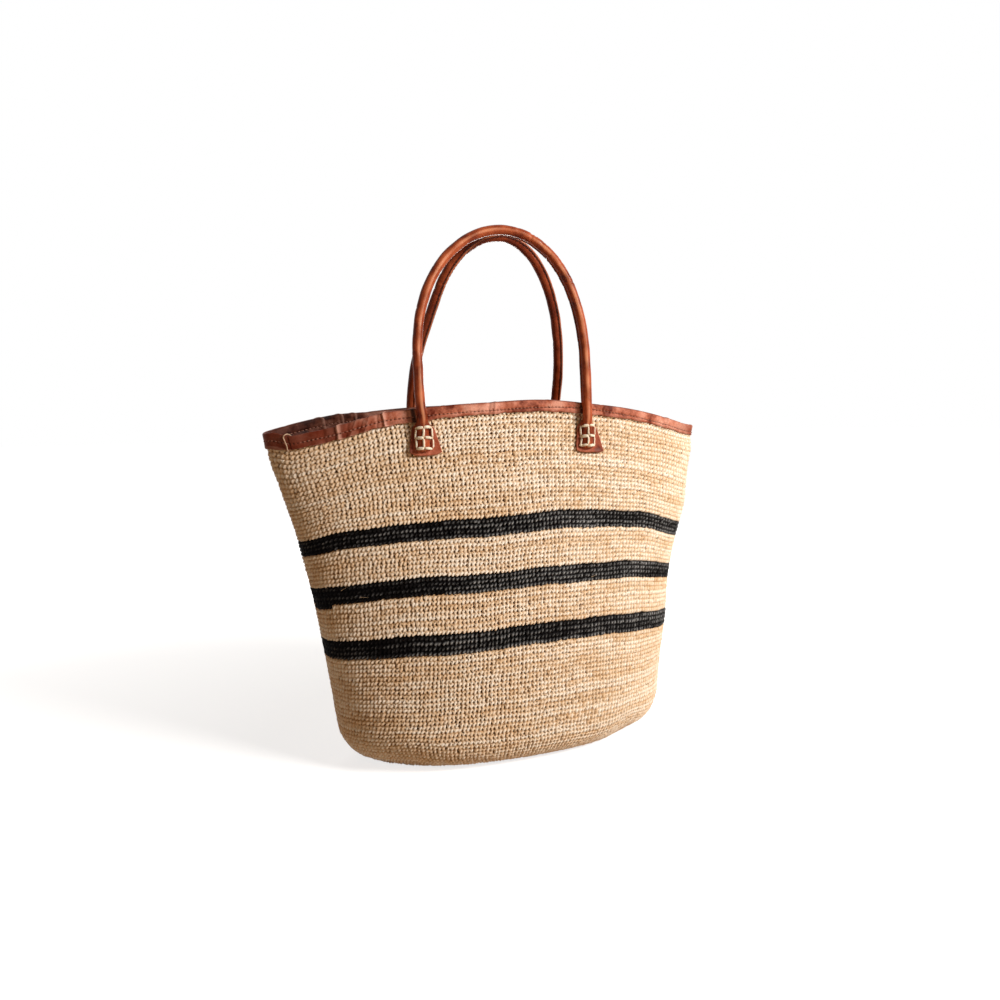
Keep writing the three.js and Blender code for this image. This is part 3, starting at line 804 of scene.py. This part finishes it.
def leather_section(seam):
    """Section of the rolled leather with its sewn seam, for a seam that stands out by a share."""
    half = math.asin(SEAM_WIDTH / 2 / HANDLE_RADIUS)
    round_part = np.linspace(np.pi / 2 + half, 5 * np.pi / 2 - half, ROUND_POINTS)
    circle = np.stack([np.cos(round_part), np.sin(round_part)], 1)
    reach = 1 + SEAM_DEPTH / HANDLE_RADIUS
    edge = SEAM_WIDTH / 2 / HANDLE_RADIUS
    rising = np.array([
        [edge * 0.92, 1.08], [edge, reach - 0.14], [edge * 0.86, reach - 0.03], [edge * 0.3, reach],
    ])
    flange = np.concatenate([rising, [[0, reach - 0.13]], rising[::-1] * [-1, 1]])
    angle = np.linspace(np.pi / 2 - half, np.pi / 2 + half, 11)[1:-1]
    plain = np.stack([np.cos(angle), np.sin(angle)], 1)
    return np.concatenate([circle, plain + (flange - plain) * seam])


def handle_creases(length, angle, rng):
    """Lumps of the filler and short creases where the leather bends over the arch."""
    travel = length[:, None]
    lumps = np.zeros((len(length), len(angle)))
    for pace, turns in ((5.1, 1), (8.3, 2), (3.6, 3), (14.0, 1)):
        lumps += 0.07 * np.sin(travel / pace + turns * angle + rng.uniform(0, 6))
    for number in range(70):
        bent = number % 2
        place = (rng.uniform(0.55, 0.68) if bent else rng.uniform(0.16, 0.84)) * length[-1]
        facing = rng.uniform(0, 2 * np.pi)
        width = rng.uniform(0.7, 1.3)
        slant = rng.uniform(-1.5, 1.5)
        gap = travel - place + slant * np.sin(angle - facing)
        depth = rng.uniform(0.12, 0.3) * (2.2 if bent else 1)
        lumps -= depth * hump(gap, 0, width) * np.clip(np.cos(angle - facing), 0, 1)
    return lumps


def make_handle(handles, leather, rng):
    """One piece of leather from foot to foot: a roll on each tab, two necks and the arch."""
    shape = handles.leather_line()
    line, seam, length = shape["line"], shape["seam"], shape["length"]
    sections = np.array([leather_section(share) for share in seam])
    across = sections[..., 0] * shape["wide"][:, None]
    through = sections[..., 1] * shape["deep"][:, None]
    rings = rings_round(line, shape["side"], shape["back"], across, through)
    for end, inner in ((0, 1), (-1, -2)):
        rings[end] = line[inner] + 0.35 * (rings[end] - line[inner])
    angle = np.linspace(0, 2 * np.pi, rings.shape[1])
    outward = unit(rings - line[:, None])
    rings += outward * handle_creases(length, angle, rng)[..., None]
    raw = np.zeros(rings.shape[:2])
    raw[:, ROUND_POINTS + 3 : ROUND_POINTS + 6] = 0.6 * seam[:, None]
    rubs_and_shadows = 0.25 * np.clip(rng.normal(0, 1, rings.shape[:2]), 0, 1)
    # Painted highlight: a pale, streaky band down the side of each handle that faces away from the bag,
    # turned a little across each leg; weaker on the rear handle.
    aside = -0.05 - 0.13 * (line[:, 0] - handles.shift) / handles.half_span
    facing = 0.99 * (outward[..., 0] * aside[:, None] - outward[..., 1])
    streaks = 0.75 + 0.25 * np.sin(length / 6.3 + 2 * np.sin(length / 17))
    polish = smooth(facing, 0.89, 0.995) * streaks[:, None] * handles.polish
    travel = np.linspace(0, 1, len(line))[:, None]
    # Painted shade: the rear handle's leather is darker, less so at its apex.
    deep = handles.deep * (1 - 0.6 * hump(travel, 0.5, 0.07))
    skin = Skin()
    marks = marked(raw.shape, np.maximum(np.maximum(raw, rubs_and_shadows), polish), 1, 1, deep)
    skin.add(handles.place(rings), marks, strips=2)
    name = f"{handles.side}_handle"
    bend_at_neck(skin.piece(f"{name}_leather", leather, "handle_leather", f"{name}_sleeve"), handles)


def bend_at_neck(piece, handles):
    """Bakes the piece's placement into its mesh. The places below and above the neck where the leather would
    bend are worked out but not used.
    """
    foot = np.array([0, -handles.depth, handles.height])
    start = handles.place(foot - [0, 0, BEND_BELOW]) / 1000
    end = handles.place(foot + [0, 0, BEND_ABOVE]) / 1000
    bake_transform(piece)


def make_seam_stitches(handles, thread):
    """Two rows of stitches along the seam that closes the roll."""
    shape = handles.leather_line()
    length = shape["length"]
    sewn = length[shape["seam"] > 0.98]
    skin = Skin()
    rise = SEAM_WIDTH / 2 - 0.1 + 0.25 * np.sin(np.pi * np.linspace(0, 1, 6))
    girth = 0.08 + 0.3 * np.sin(np.pi * np.linspace(0.04, 0.96, 6)) ** 0.5
    for start in np.arange(sewn[0] + 8, sewn[-1] - SEAM_PITCH - 8, SEAM_PITCH):
        at = start + SEAM_PITCH * np.linspace(0.08, 0.86, 6)
        middle, out, back = (at_length(at, length, shape[key]) for key in ("line", "side", "back"))
        for face in (-1, 1):
            path = middle + out * face * rise[:, None] + back * (HANDLE_RADIUS + 0.5 * SEAM_DEPTH)
            skin.add(handles.place(tube(path, girth, girth, out * face, sides=6)))
    piece = skin.piece(f"{handles.side}_seam_stitches", thread, "rim_thread")
    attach(piece, f"{handles.side}_handle")


def make_core(handles, cord):
    """Twisted filler cord inside the roll."""
    line = handles.arch_line(clear=9)
    side, back = section_axes(line, np.zeros(len(line)))
    angle = np.arange(CORE_SIDES) * 2 * np.pi / CORE_SIDES
    twist = np.arange(len(line))[:, None] * 0.3
    radius = CORE_RADIUS + 0.25 * np.cos(3 * (angle + twist))
    rings = rings_round(line, side, back, radius * np.cos(angle), radius * np.sin(angle))
    for end in (0, -1):
        rings[end] = line[end] + 0.3 * (rings[end] - line[end])
    skin = Skin()
    skin.add(handles.place(rings))
    piece = skin.piece(f"{handles.side}_filler_cord", cord, "handle_cord", f"{handles.side}_handle_core")
    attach(piece, f"{handles.side}_handle")


def tab_reach(down):
    """Reach of the tab's left and right edge from the top (0) to its bottom corners (1)."""
    shoulder = TAB_SHOULDER - TAB_NECK
    left = TAB_NECK + shoulder * smooth(down, 0, 0.3) + TAB_LEFT_FLARE * smooth(down, 0.3, 1)
    flare = np.clip((down - 0.15) / 0.85, 0, 1) ** 0.8
    right = TAB_NECK + shoulder * smooth(down, -0.05, 0.25) + TAB_RIGHT_FLARE * flare
    return left, right


def make_tab(handles, foot, leather, rng):
    """The leather opened out beside the roll, with raw edges that lift a little."""
    down = np.linspace(0, 1, 41)[:, None]
    share = np.linspace(-1, 1, 49)[None, :]
    left, right = tab_reach(down)
    across = (right - left) / 2 + (right + left) / 2 * share
    bottom = TAB_BOW * (1 - np.abs(share) ** 5) + 0.4 * np.sin(3 * share + rng.uniform(0, 6))
    bottom = bottom + handles.tab_corner[foot] * smooth(share, 0, 1)
    up = TAB_HEIGHT / 2 - down * (TAB_HEIGHT - TAB_BOW + 0.6 + bottom)
    beside = np.clip(np.abs(across) - ROLL_HALF_WIDTH + 0.6, 0, None)
    fillet = 2.4 * hump(beside, 0, 1.6, 1.2) * (1 - 0.75 * smooth(down, 0.6, 0.95))
    fillet *= smooth(down, 0, 0.12)
    curl = 0.9 * np.abs(share) ** 6 * smooth(down, 0.35, 1) + 0.5 * smooth(down, 0.85, 1)
    curl += 0.25 * np.sin(across / 4.3 + rng.uniform(0, 6)) * np.sin(up / 5.1 + rng.uniform(0, 6))
    face = SEAT + TAB_LEATHER + fillet + curl
    under = SEAT + 0.15 + 0.9 * curl
    edge = np.maximum(np.abs(share) ** 14, smooth(down, 0.97, 1) * np.ones_like(share))
    top = handles.on_tab(foot, across, up, face - 0.35 * edge)
    low = handles.on_tab(foot, across, up, under)[:, ::-1]
    rings = np.concatenate([top, low], 1)
    middle = (top + low[:, ::-1]) / 2
    ends = [np.concatenate([middle[[end]], middle[[end], ::-1]], 1) for end in (0, -1)]
    rings = np.concatenate([ends[0], rings, ends[1]])
    wear_and_sheen = np.concatenate([np.maximum(edge, 0.7 * smooth(down, 0.7, 1)), np.ones_like(edge)], 1)
    wear_and_sheen = np.concatenate([wear_and_sheen[:1], wear_and_sheen, wear_and_sheen[-1:]])
    marks = marked(wear_and_sheen.shape, 0.5 * wear_and_sheen, 1, 1, 0)
    skin = Skin()
    skin.add(handles.place(rings)[:, ::-1], marks[:, ::-1])
    name = f"{handles.side}_{handles.names[foot]}"
    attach(skin.piece(f"{name}_tab_leather", leather, "handle_leather", f"{name}_tab"), "bag")


def lace_height(across):
    """Height of the lacing's middle line over the wall as it crosses the roll."""
    flat = SEAT + TAB_LEATHER + 0.9
    share = np.clip(np.abs(across) / (ROLL_HALF_WIDTH + 1.3), 0, 1)
    over = ROLL_LIFT + ROLL_HALF_RISE + (ROLL_HALF_RISE + 0.75) * np.sqrt(1 - share**2)
    return np.maximum(flat, over)


def lace_stitch(handles, foot, start, end, girth, rng):
    """One fat stitch between two holes: it comes up, swells over the leather and goes down again."""
    share = np.linspace(0, 1, 19)
    bow = np.sin(np.pi * share)
    drift = rng.normal(0, 0.3, 2)
    ends = np.array([start, end]) + rng.normal(0, 0.38, (2, 2))
    across, up = (ends[0] + (ends[1] - ends[0]) * (0.02 + 0.96 * share[:, None]) + bow[:, None] * drift).T
    dive = 1.9 * (1 - np.minimum(1, 5.5 * np.minimum(share, 1 - share))) ** 2
    height = lace_height(across)
    path = handles.on_tab(foot, across, up, height - dive)
    outward = handles.on_tab(foot, across, up, height + 1) - handles.on_tab(foot, across, up, height)
    outward[:, 0] += 0.12 * across
    swell = girth * rng.uniform(0.85, 1.15) * (0.42 + 0.58 * np.minimum(1, bow * 1.5) ** 0.8)
    rings = tube(path, swell, swell * 0.72, outward, sides=12)
    marks = marked(rings.shape[:2], rng.uniform(), 1, np.arange(12)[None, :] / 12, share[:, None])
    return rings, marks


def make_lacing(handles, foot, cord, rng):
    """Box lacing: a window of four panes in cream cord, sewn through the tab and the roll."""
    skin = Skin()
    columns = [LACE_SHIFT - LACE_HALF_WIDTH, 0, LACE_HALF_WIDTH + LACE_SHIFT]
    rows = [TAB_HEIGHT / 2 - TAB_TOP - LACE_PITCH * row for row in range(3)]
    uprights = [((x, high), (x, low), LACE_UPRIGHT) for x in columns for high, low in zip(rows, rows[1:])]
    sides = list(zip(columns, columns[1:]))
    bars = [((left, up), (right, up), LACE_BAR) for up in rows for left, right in sides]
    lean = handles.lace_lean[foot]
    for *ends, girth in uprights + bars:
        start, end = [(x + lean * (rows[0] - up), up) for x, up in ends]
        rings, marks = lace_stitch(handles, foot, start, end, girth, rng)
        skin.add(handles.place(rings), marks)
    name = f"{handles.side}_{handles.names[foot]}"
    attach(skin.piece(f"{name}_lacing_cord", cord, "lacing_cord", f"{name}_lacing"), "bag")


# Loose fibres

def make_fibres(name, material, slot, rows, count, rng):
    """Short hairs that lift off the wall between two rows."""
    skin = Skin()
    steps = np.linspace(0, 1, 8)
    girth = 0.16 * (1 - 0.8 * steps)
    for _ in range(count):
        row = rng.uniform(*rows)
        share = rng.uniform()
        length = rng.uniform(3, 10)
        heading = rng.uniform(-0.6, 0.6)
        at_share = share + steps * length * math.cos(heading) / ROUND_LENGTH
        at_row = np.clip(row + steps * length * math.sin(heading) / ROW_HEIGHT, 1, ROWS - 4)
        lift = 0.1 + rng.uniform(0.3, 1.6) * steps**2
        grid = crochet_points(at_share, at_row, np.repeat(lift[:, None], len(steps), 1))
        path = grid.diagonal().T
        skin.add(tube(path, girth, girth * 0.6, (0.1, -1, 0.3), sides=4))
    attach(skin.piece(name, material, slot), "bag")


# Materials

class Nodes:
    """Adds nodes to a tree. An input that is a socket is linked and any other is set."""

    def __init__(self, tree):
        self.tree = tree

    def node(self, kind, inputs, output=0, **settings):
        made = self.tree.nodes.new(kind)
        for key, value in settings.items():
            setattr(made, key, value)
        for key, value in inputs.items():
            if isinstance(value, bpy.types.NodeSocket):
                self.tree.links.new(value, made.inputs[key])
            else:
                made.inputs[key].default_value = value
        return made.outputs[output]

    def math(self, operation, first, second):
        return self.node("ShaderNodeMath", {0: first, 1: second}, operation=operation)

    def backdrop(self):
        """A factor that is 1 for rays that show the background directly."""
        seen = self.node("ShaderNodeLightPath", {}, "Is Camera Ray")
        rays = seen.node.outputs
        for other in ("Is Glossy Ray", "Is Transmission Ray"):
            seen = self.math("MAXIMUM", seen, rays[other])
        return seen


class Shader(Nodes):
    """A material with one Principled surface and the nodes that feed it."""

    def __init__(self, name, roughness, **surface):
        self.material = bpy.data.materials.new(name)
        self.material.use_nodes = True
        super().__init__(self.material.node_tree)
        self.surface = self.tree.nodes["Principled BSDF"]
        self.surface.inputs["Roughness"].default_value = roughness
        for key, value in surface.items():
            self.surface.inputs[key.replace("_", " ").title().replace("Ior", "IOR")].default_value = value

    def feed(self, key, value):
        self.tree.links.new(value, self.surface.inputs[key])

    def place(self):
        return self.node("ShaderNodeTexCoord", {}, "Object")

    def marks(self):
        colour = self.node("ShaderNodeAttribute", {}, "Color", attribute_name="marks")
        parts = self.node("ShaderNodeSeparateColor", {0: colour})
        return [*parts.node.outputs, colour.node.outputs["Alpha"]]

    def noise(self, vector, scale, detail, roughness=0.55):
        inputs = {"Vector": vector, "Scale": scale, "Detail": detail, "Roughness": roughness}
        return self.node("ShaderNodeTexNoise", inputs)

    def between(self, value, low, high, to_low=0.0, to_high=1.0):
        inputs = {"Value": value, "From Min": low, "From Max": high, "To Min": to_low, "To Max": to_high}
        return self.node("ShaderNodeMapRange", inputs)

    def ramp(self, value, *stops):
        colour = self.node("ShaderNodeValToRGB", {"Fac": value})
        steps = colour.node.color_ramp.elements
        while len(steps) < len(stops):
            steps.new(1.0)
        for step, (position, shade) in zip(steps, stops):
            step.position = position
            step.color = (*shade, 1)
        return colour

    def mix(self, factor, first, second):
        inputs = {0: factor}
        for key, colour in ((6, first), (7, second)):
            inputs[key] = colour if isinstance(colour, bpy.types.NodeSocket) else (*colour, 1)
        return self.node("ShaderNodeMix", inputs, 2, data_type="RGBA")

    def bump(self, height, strength, distance):
        inputs = {"Height": height, "Strength": strength, "Distance": distance}
        self.feed("Normal", self.node("ShaderNodeBump", inputs))

    def finish(self, colour, roughness=None):
        self.feed("Base Color", colour)
        if roughness:
            self.feed("Roughness", roughness)
        return self.material


def raffia(name, stops, edge_shade, edge_span, hollow_shade, roughness, gloss):
    """Split palm fibre: a satin strand with fine streaks along it, with painted shade down between the
    stitches and at the strand's edges and ends.
    """
    shader = Shader(name, roughness, specular_ior_level=gloss)
    tone, depth, across, along = shader.marks()
    stretched = ((across, 5.0), (along, 0.9), (tone, 40.0))
    axes = [shader.math("MULTIPLY", mark, scale) for mark, scale in stretched]
    lie = shader.node("ShaderNodeCombineXYZ", dict(enumerate(axes)))
    streak = shader.noise(lie, 2.2, 3.0)
    patch = shader.noise(shader.place(), 28.0, 3.0)
    shade = shader.math("ADD", tone, shader.between(streak, 0.25, 0.75, -0.22, 0.22))
    shade = shader.math("ADD", shade, shader.between(patch, 0.3, 0.7, -0.12, 0.12))
    colour = shader.ramp(shade, *stops)
    # Darker toward the strand's edges and ends: partly the strand's own browner edge, partly painted shade
    # where it goes under its neighbours.
    for place in (across, along):
        edge = shader.math("ABSOLUTE", shader.math("SUBTRACT", place, 0.5), 0.0)
        colour = shader.mix(shader.between(edge, *edge_span, 0.0, 0.8), colour, edge_shade)
    # Painted shade: the colour goes toward the hollow colour the lower the depth mark says a point lies.
    colour = shader.mix(shader.between(depth, 0.08, 0.5), hollow_shade, colour)
    shader.bump(streak, 0.5, 0.0004)
    return shader.finish(colour, shader.between(streak, 0.3, 0.7, roughness - 0.1, roughness + 0.12))


def leather(name, dark, middle, light, raw, roughness, gloss):
    """Pull-up leather: mottled colour and fine grain, paler where it is creased or cut and where a highlight
    is painted, darker where shade or a shadow is painted, and painted shade on its inside.
    """
    shader = Shader(name, roughness, specular_ior_level=gloss)
    wear_and_sheen, closed, outside, deep = shader.marks()
    place = shader.place()
    mottle = shader.noise(place, 55.0, 5.0, 0.6)
    grain = shader.noise(place, 900.0, 4.0, 0.6)
    pores = shader.node("ShaderNodeTexVoronoi", {"Vector": place, "Scale": 1300.0}, "Distance")
    colour = shader.ramp(mottle, (0.36, dark), (0.48, middle), (0.62, light))
    colour = shader.mix(shader.between(grain, 0.35, 0.7, 0.0, 0.35), colour, dark)
    # Painted shade: the fourth mark darkens the colour on the rear handle and toward the binding's left end;
    # on the binding it also darkens a strip below the sewing line, the top of the fold and near the right
    # end.
    colour = shader.mix(shader.between(deep, 0.0, 1.0, 0.0, 0.86), colour, dark)
    # Painted shade: the inside of the folded binding is mixed toward near black, by an amount that varies
    # with the mottle.
    inside_shade_strength = shader.between(mottle, 0.38, 0.62, 0.97, 0.6)
    inside = shader.math("MULTIPLY", shader.between(outside, 0.0, 1.0, 1.0, 0.0), inside_shade_strength)
    colour = shader.mix(inside, colour, (0.02, 0.005, 0.003))
    # Paler toward the fourth colour by the first mark: cut edges and wear, and also painted highlights on
    # the handles and the binding's crease tops.
    colour = shader.mix(shader.between(wear_and_sheen, 0.2, 1.0, 0.0, 0.8), colour, raw)
    # Near black where the second mark is low: needle holes, the joint line, and the painted shadow on the
    # binding beside the front handles' rolls.
    colour = shader.mix(shader.between(closed, 0.0, 0.7, 0.95, 0.0), colour, (0.012, 0.004, 0.003))
    height = shader.math("ADD", shader.math("MULTIPLY", grain, 0.7), shader.math("MULTIPLY", pores, 0.5))
    shader.bump(height, 0.35, 0.0004)
    return shader.finish(colour, shader.between(mottle, 0.3, 0.7, roughness - 0.07, roughness + 0.1))


def twisted_cord(name, dark, light, scale):
    """Waxed or cotton cord: fine slanting plies and a little soil."""
    shader = Shader(name, 0.6, specular_ior_level=0.35)
    place = shader.place()
    drawn_out = shader.node("ShaderNodeMapping", {"Vector": place, "Scale": (1.0, 1.0, 0.35)})
    ply = shader.noise(drawn_out, scale, 2.0)
    soil = shader.noise(place, 70.0, 3.0)
    colour = shader.ramp(ply, (0.35, dark), (0.6, light))
    colour = shader.mix(shader.between(soil, 0.5, 0.75, 0.0, 0.5), colour, dark)
    shader.bump(ply, 0.45, 0.0004)
    return shader.finish(colour)


def make_raffias():
    """Natural straw and the same dyed black."""
    # The palest straw stop is reached on the beads' tops, a painted highlight.
    straw = [(0.0, (0.53, 0.30, 0.14)), (0.5, (0.82, 0.59, 0.38)), (1.0, (0.97, 0.86, 0.73))]
    # The first colour darkens the strands' edges and ends, partly painted shade; the second is painted shade
    # in the hollows between them.
    shade, gap = (0.52, 0.28, 0.11), (0.06, 0.02, 0.006)
    natural = raffia("natural_raffia", straw, shade, (0.26, 0.48), gap, 0.42, 0.12)
    # Painted highlight: only the cores of the black beads reach the pale grey top stop; the rest stays near
    # black.
    dyed = [(0.0, (0.001, 0.001, 0.001)), (0.6, (0.010, 0.009, 0.009)), (1.0, (0.52, 0.51, 0.505))]
    shade, gap = (0.002, 0.001, 0.001), (0.001, 0.001, 0.001)
    black = raffia("black_raffia", dyed, shade, (0.0, 0.34), gap, 0.5, 0.02)
    return natural, black


def make_leathers():
    """Red-brown leather of the binding, the handles and the duller tabs."""
    # The fourth colour of each is the pale of cut edges and wear, and also of the painted highlights on the
    # handles and on the binding's crease tops.
    red_browns = (0.12, 0.016, 0.005), (0.54, 0.165, 0.092), (0.80, 0.37, 0.26), (0.84, 0.46, 0.35)
    deep_browns = (0.13, 0.017, 0.004), (0.32, 0.056, 0.016), (0.48, 0.105, 0.036), (0.80, 0.33, 0.17)
    dull_browns = (0.12, 0.017, 0.006), (0.33, 0.070, 0.031), (0.50, 0.140, 0.078), (0.64, 0.25, 0.16)
    binding = leather("binding_leather", *red_browns, 0.5, 0.08)
    handle = leather("handle_leather", *deep_browns, 0.3, 0.1)
    tab = leather("tab_leather", *dull_browns, 0.45, 0.08)
    return binding, handle, tab


def make_cords():
    """Threads of the rim, the seams and the joint, the lacing's cord and the filler cord."""
    thread = twisted_cord("brown_thread", (0.18, 0.06, 0.035), (0.38, 0.17, 0.115), 900.0)
    seam_thread = twisted_cord("seam_thread", (0.02, 0.008, 0.005), (0.07, 0.026, 0.016), 900.0)
    tan = twisted_cord("tan_thread", (0.42, 0.25, 0.15), (0.62, 0.42, 0.28), 900.0)
    cream = twisted_cord("cream_cord", (0.70, 0.56, 0.39), (0.93, 0.83, 0.67), 700.0)
    cotton = twisted_cord("cotton_cord", (0.55, 0.47, 0.36), (0.70, 0.62, 0.50), 700.0)
    return thread, seam_thread, tan, cream, cotton


# Stage, in metres

FLOOR_REACH = 12
LAMPS = {  # place, target, size, power in watts and colour
    "key": ((0.9, -0.98, 0.95), (0, 0, 0.25), 0.5, 27, (1.0, 0.98, 0.95)),
    "fill": ((-1.2, -0.5, 0.45), (0, 0, 0.2), 0.4, 0.7, (1.0, 0.62, 0.3)),
    "back": ((0.45, 1.35, 0.3), (0, 0, 0.2), 0.5, 8, (1.0, 0.96, 0.91)),
}
CAMERA_TURN = (18.6516, -6.2367, -0.8568)  # degrees of yaw, pitch and roll
CAMERA_AWAY = 0.7740323
CAMERA_HEIGHT = 0.3323531
CAMERA_ASIDE = -0.0006384
LENS = 27.467  # millimetres, as the sensor
SENSOR_WIDTH = 36


def make_lights():
    for name, (place, target, size, energy, colour) in LAMPS.items():
        lamp = bpy.data.lights.new(name, "AREA")
        lamp.shape = "DISK"
        lamp.size = size
        lamp.energy = energy
        lamp.color = colour
        thing = bpy.data.objects.new(name, lamp)
        bpy.context.scene.collection.objects.link(thing)
        thing.location = place
        thing.rotation_euler = (Vector(target) - thing.location).to_track_quat("-Z", "Y").to_euler()


def make_world():
    """Dim warm light from all round, and white where the background shows."""
    world = bpy.data.worlds.new("studio")
    bpy.context.scene.world = world
    world.use_nodes = True
    nodes = Nodes(world.node_tree)
    light = nodes.tree.nodes["Background"]
    light.inputs["Color"].default_value = (1, 0.6, 0.3, 1)
    light.inputs["Strength"].default_value = 0.06
    white = nodes.node("ShaderNodeBackground", {"Color": (1, 1, 1, 1), "Strength": 1.0})
    both = nodes.node("ShaderNodeMixShader", {0: nodes.backdrop(), 1: light.outputs[0], 2: white})
    nodes.tree.links.new(both, nodes.tree.nodes["World Output"].inputs["Surface"])


def pale_floor():
    """White where it shows as the background, a little deeper near the bag, with the bag's shadow."""
    shader = Shader("pale_floor", 0.9, specular_ior_level=0.0, emission_color=(1, 1, 1, 1))
    seen = shader.backdrop()
    away = shader.node("ShaderNodeVectorMath", {0: shader.place()}, "Value", operation="LENGTH")
    paler = shader.between(away, 0.25, 0.9, 0.76, 1.0)
    shader.feed("Emission Strength", shader.math("MULTIPLY", seen, paler))
    return shader.finish(shader.mix(seen, (0.62, 0.49, 0.35), (0.6, 0.6, 0.6)))


def make_floor():
    mesh = bpy.data.meshes.new("floor")
    corners = [(x * FLOOR_REACH, y * FLOOR_REACH, 0) for x, y in ((-1, -1), (1, -1), (1, 1), (-1, 1))]
    mesh.from_pydata(corners, [], [(0, 1, 2, 3)])
    mesh.materials.append(pale_floor())
    floor = bpy.data.objects.new("floor", mesh)
    bpy.context.scene.collection.objects.link(floor)


def make_camera():
    """The photograph's view: from the front left, about as high as the rim, looking slightly down."""
    yaw, pitch, roll = (math.radians(turn) for turn in CAMERA_TURN)
    lens = bpy.data.cameras.new("camera")
    lens.sensor_width = SENSOR_WIDTH
    lens.lens = LENS
    thing = bpy.data.objects.new("camera", lens)
    bpy.context.scene.collection.objects.link(thing)
    right = Vector((math.cos(yaw), -math.sin(yaw), 0))
    level = Vector((math.sin(yaw), math.cos(yaw), 0))
    forward = math.cos(pitch) * level + Vector((0, 0, math.sin(pitch)))
    up = right.cross(forward)
    across = math.cos(roll) * right + math.sin(roll) * up
    above = math.cos(roll) * up - math.sin(roll) * right
    place = CAMERA_ASIDE * right - CAMERA_AWAY * level + Vector((0, 0, CAMERA_HEIGHT))
    turn = Matrix((across, above, -forward)).transposed().to_4x4()
    thing.matrix_world = Matrix.Translation(place) @ turn
    bpy.context.scene.camera = thing


def make_bag():
    rng = np.random.default_rng(8)
    natural, black = make_raffias()
    binding, handle, tab = make_leathers()
    thread, seam_thread, tan, cream, cotton = make_cords()
    stitches = Stitches(21)
    make_walls(stitches, natural, black)
    make_base(stitches, natural)
    make_binding(binding, rng)
    make_rim_stitches("outer_rim_stitches", thread, "rim_stitch_outer", BINDING_OUTSIDE, 1)
    make_rim_stitches("inner_rim_stitches", thread, "rim_stitch_inner", BINDING_INSIDE, -1)
    make_joint_thread(tan)
    for side in HANDLES:
        handles = HandleSet(side)
        make_handle(handles, handle, rng)
        make_seam_stitches(handles, seam_thread)
        make_core(handles, cotton)
        for foot in (0, 1):
            make_tab(handles, foot, tab, rng)
            make_lacing(handles, foot, cream, rng)
    make_fibres("loose_fibres", natural, "natural_raffia", (2, 82), 70, rng)
    make_fibres("loose_black_fibres", black, "dark_raffia", (57, 61), 10, rng)


make_camera()
make_bag()
make_floor()
make_lights()
make_world()
bpy.context.scene.view_settings.view_transform = "Standard"
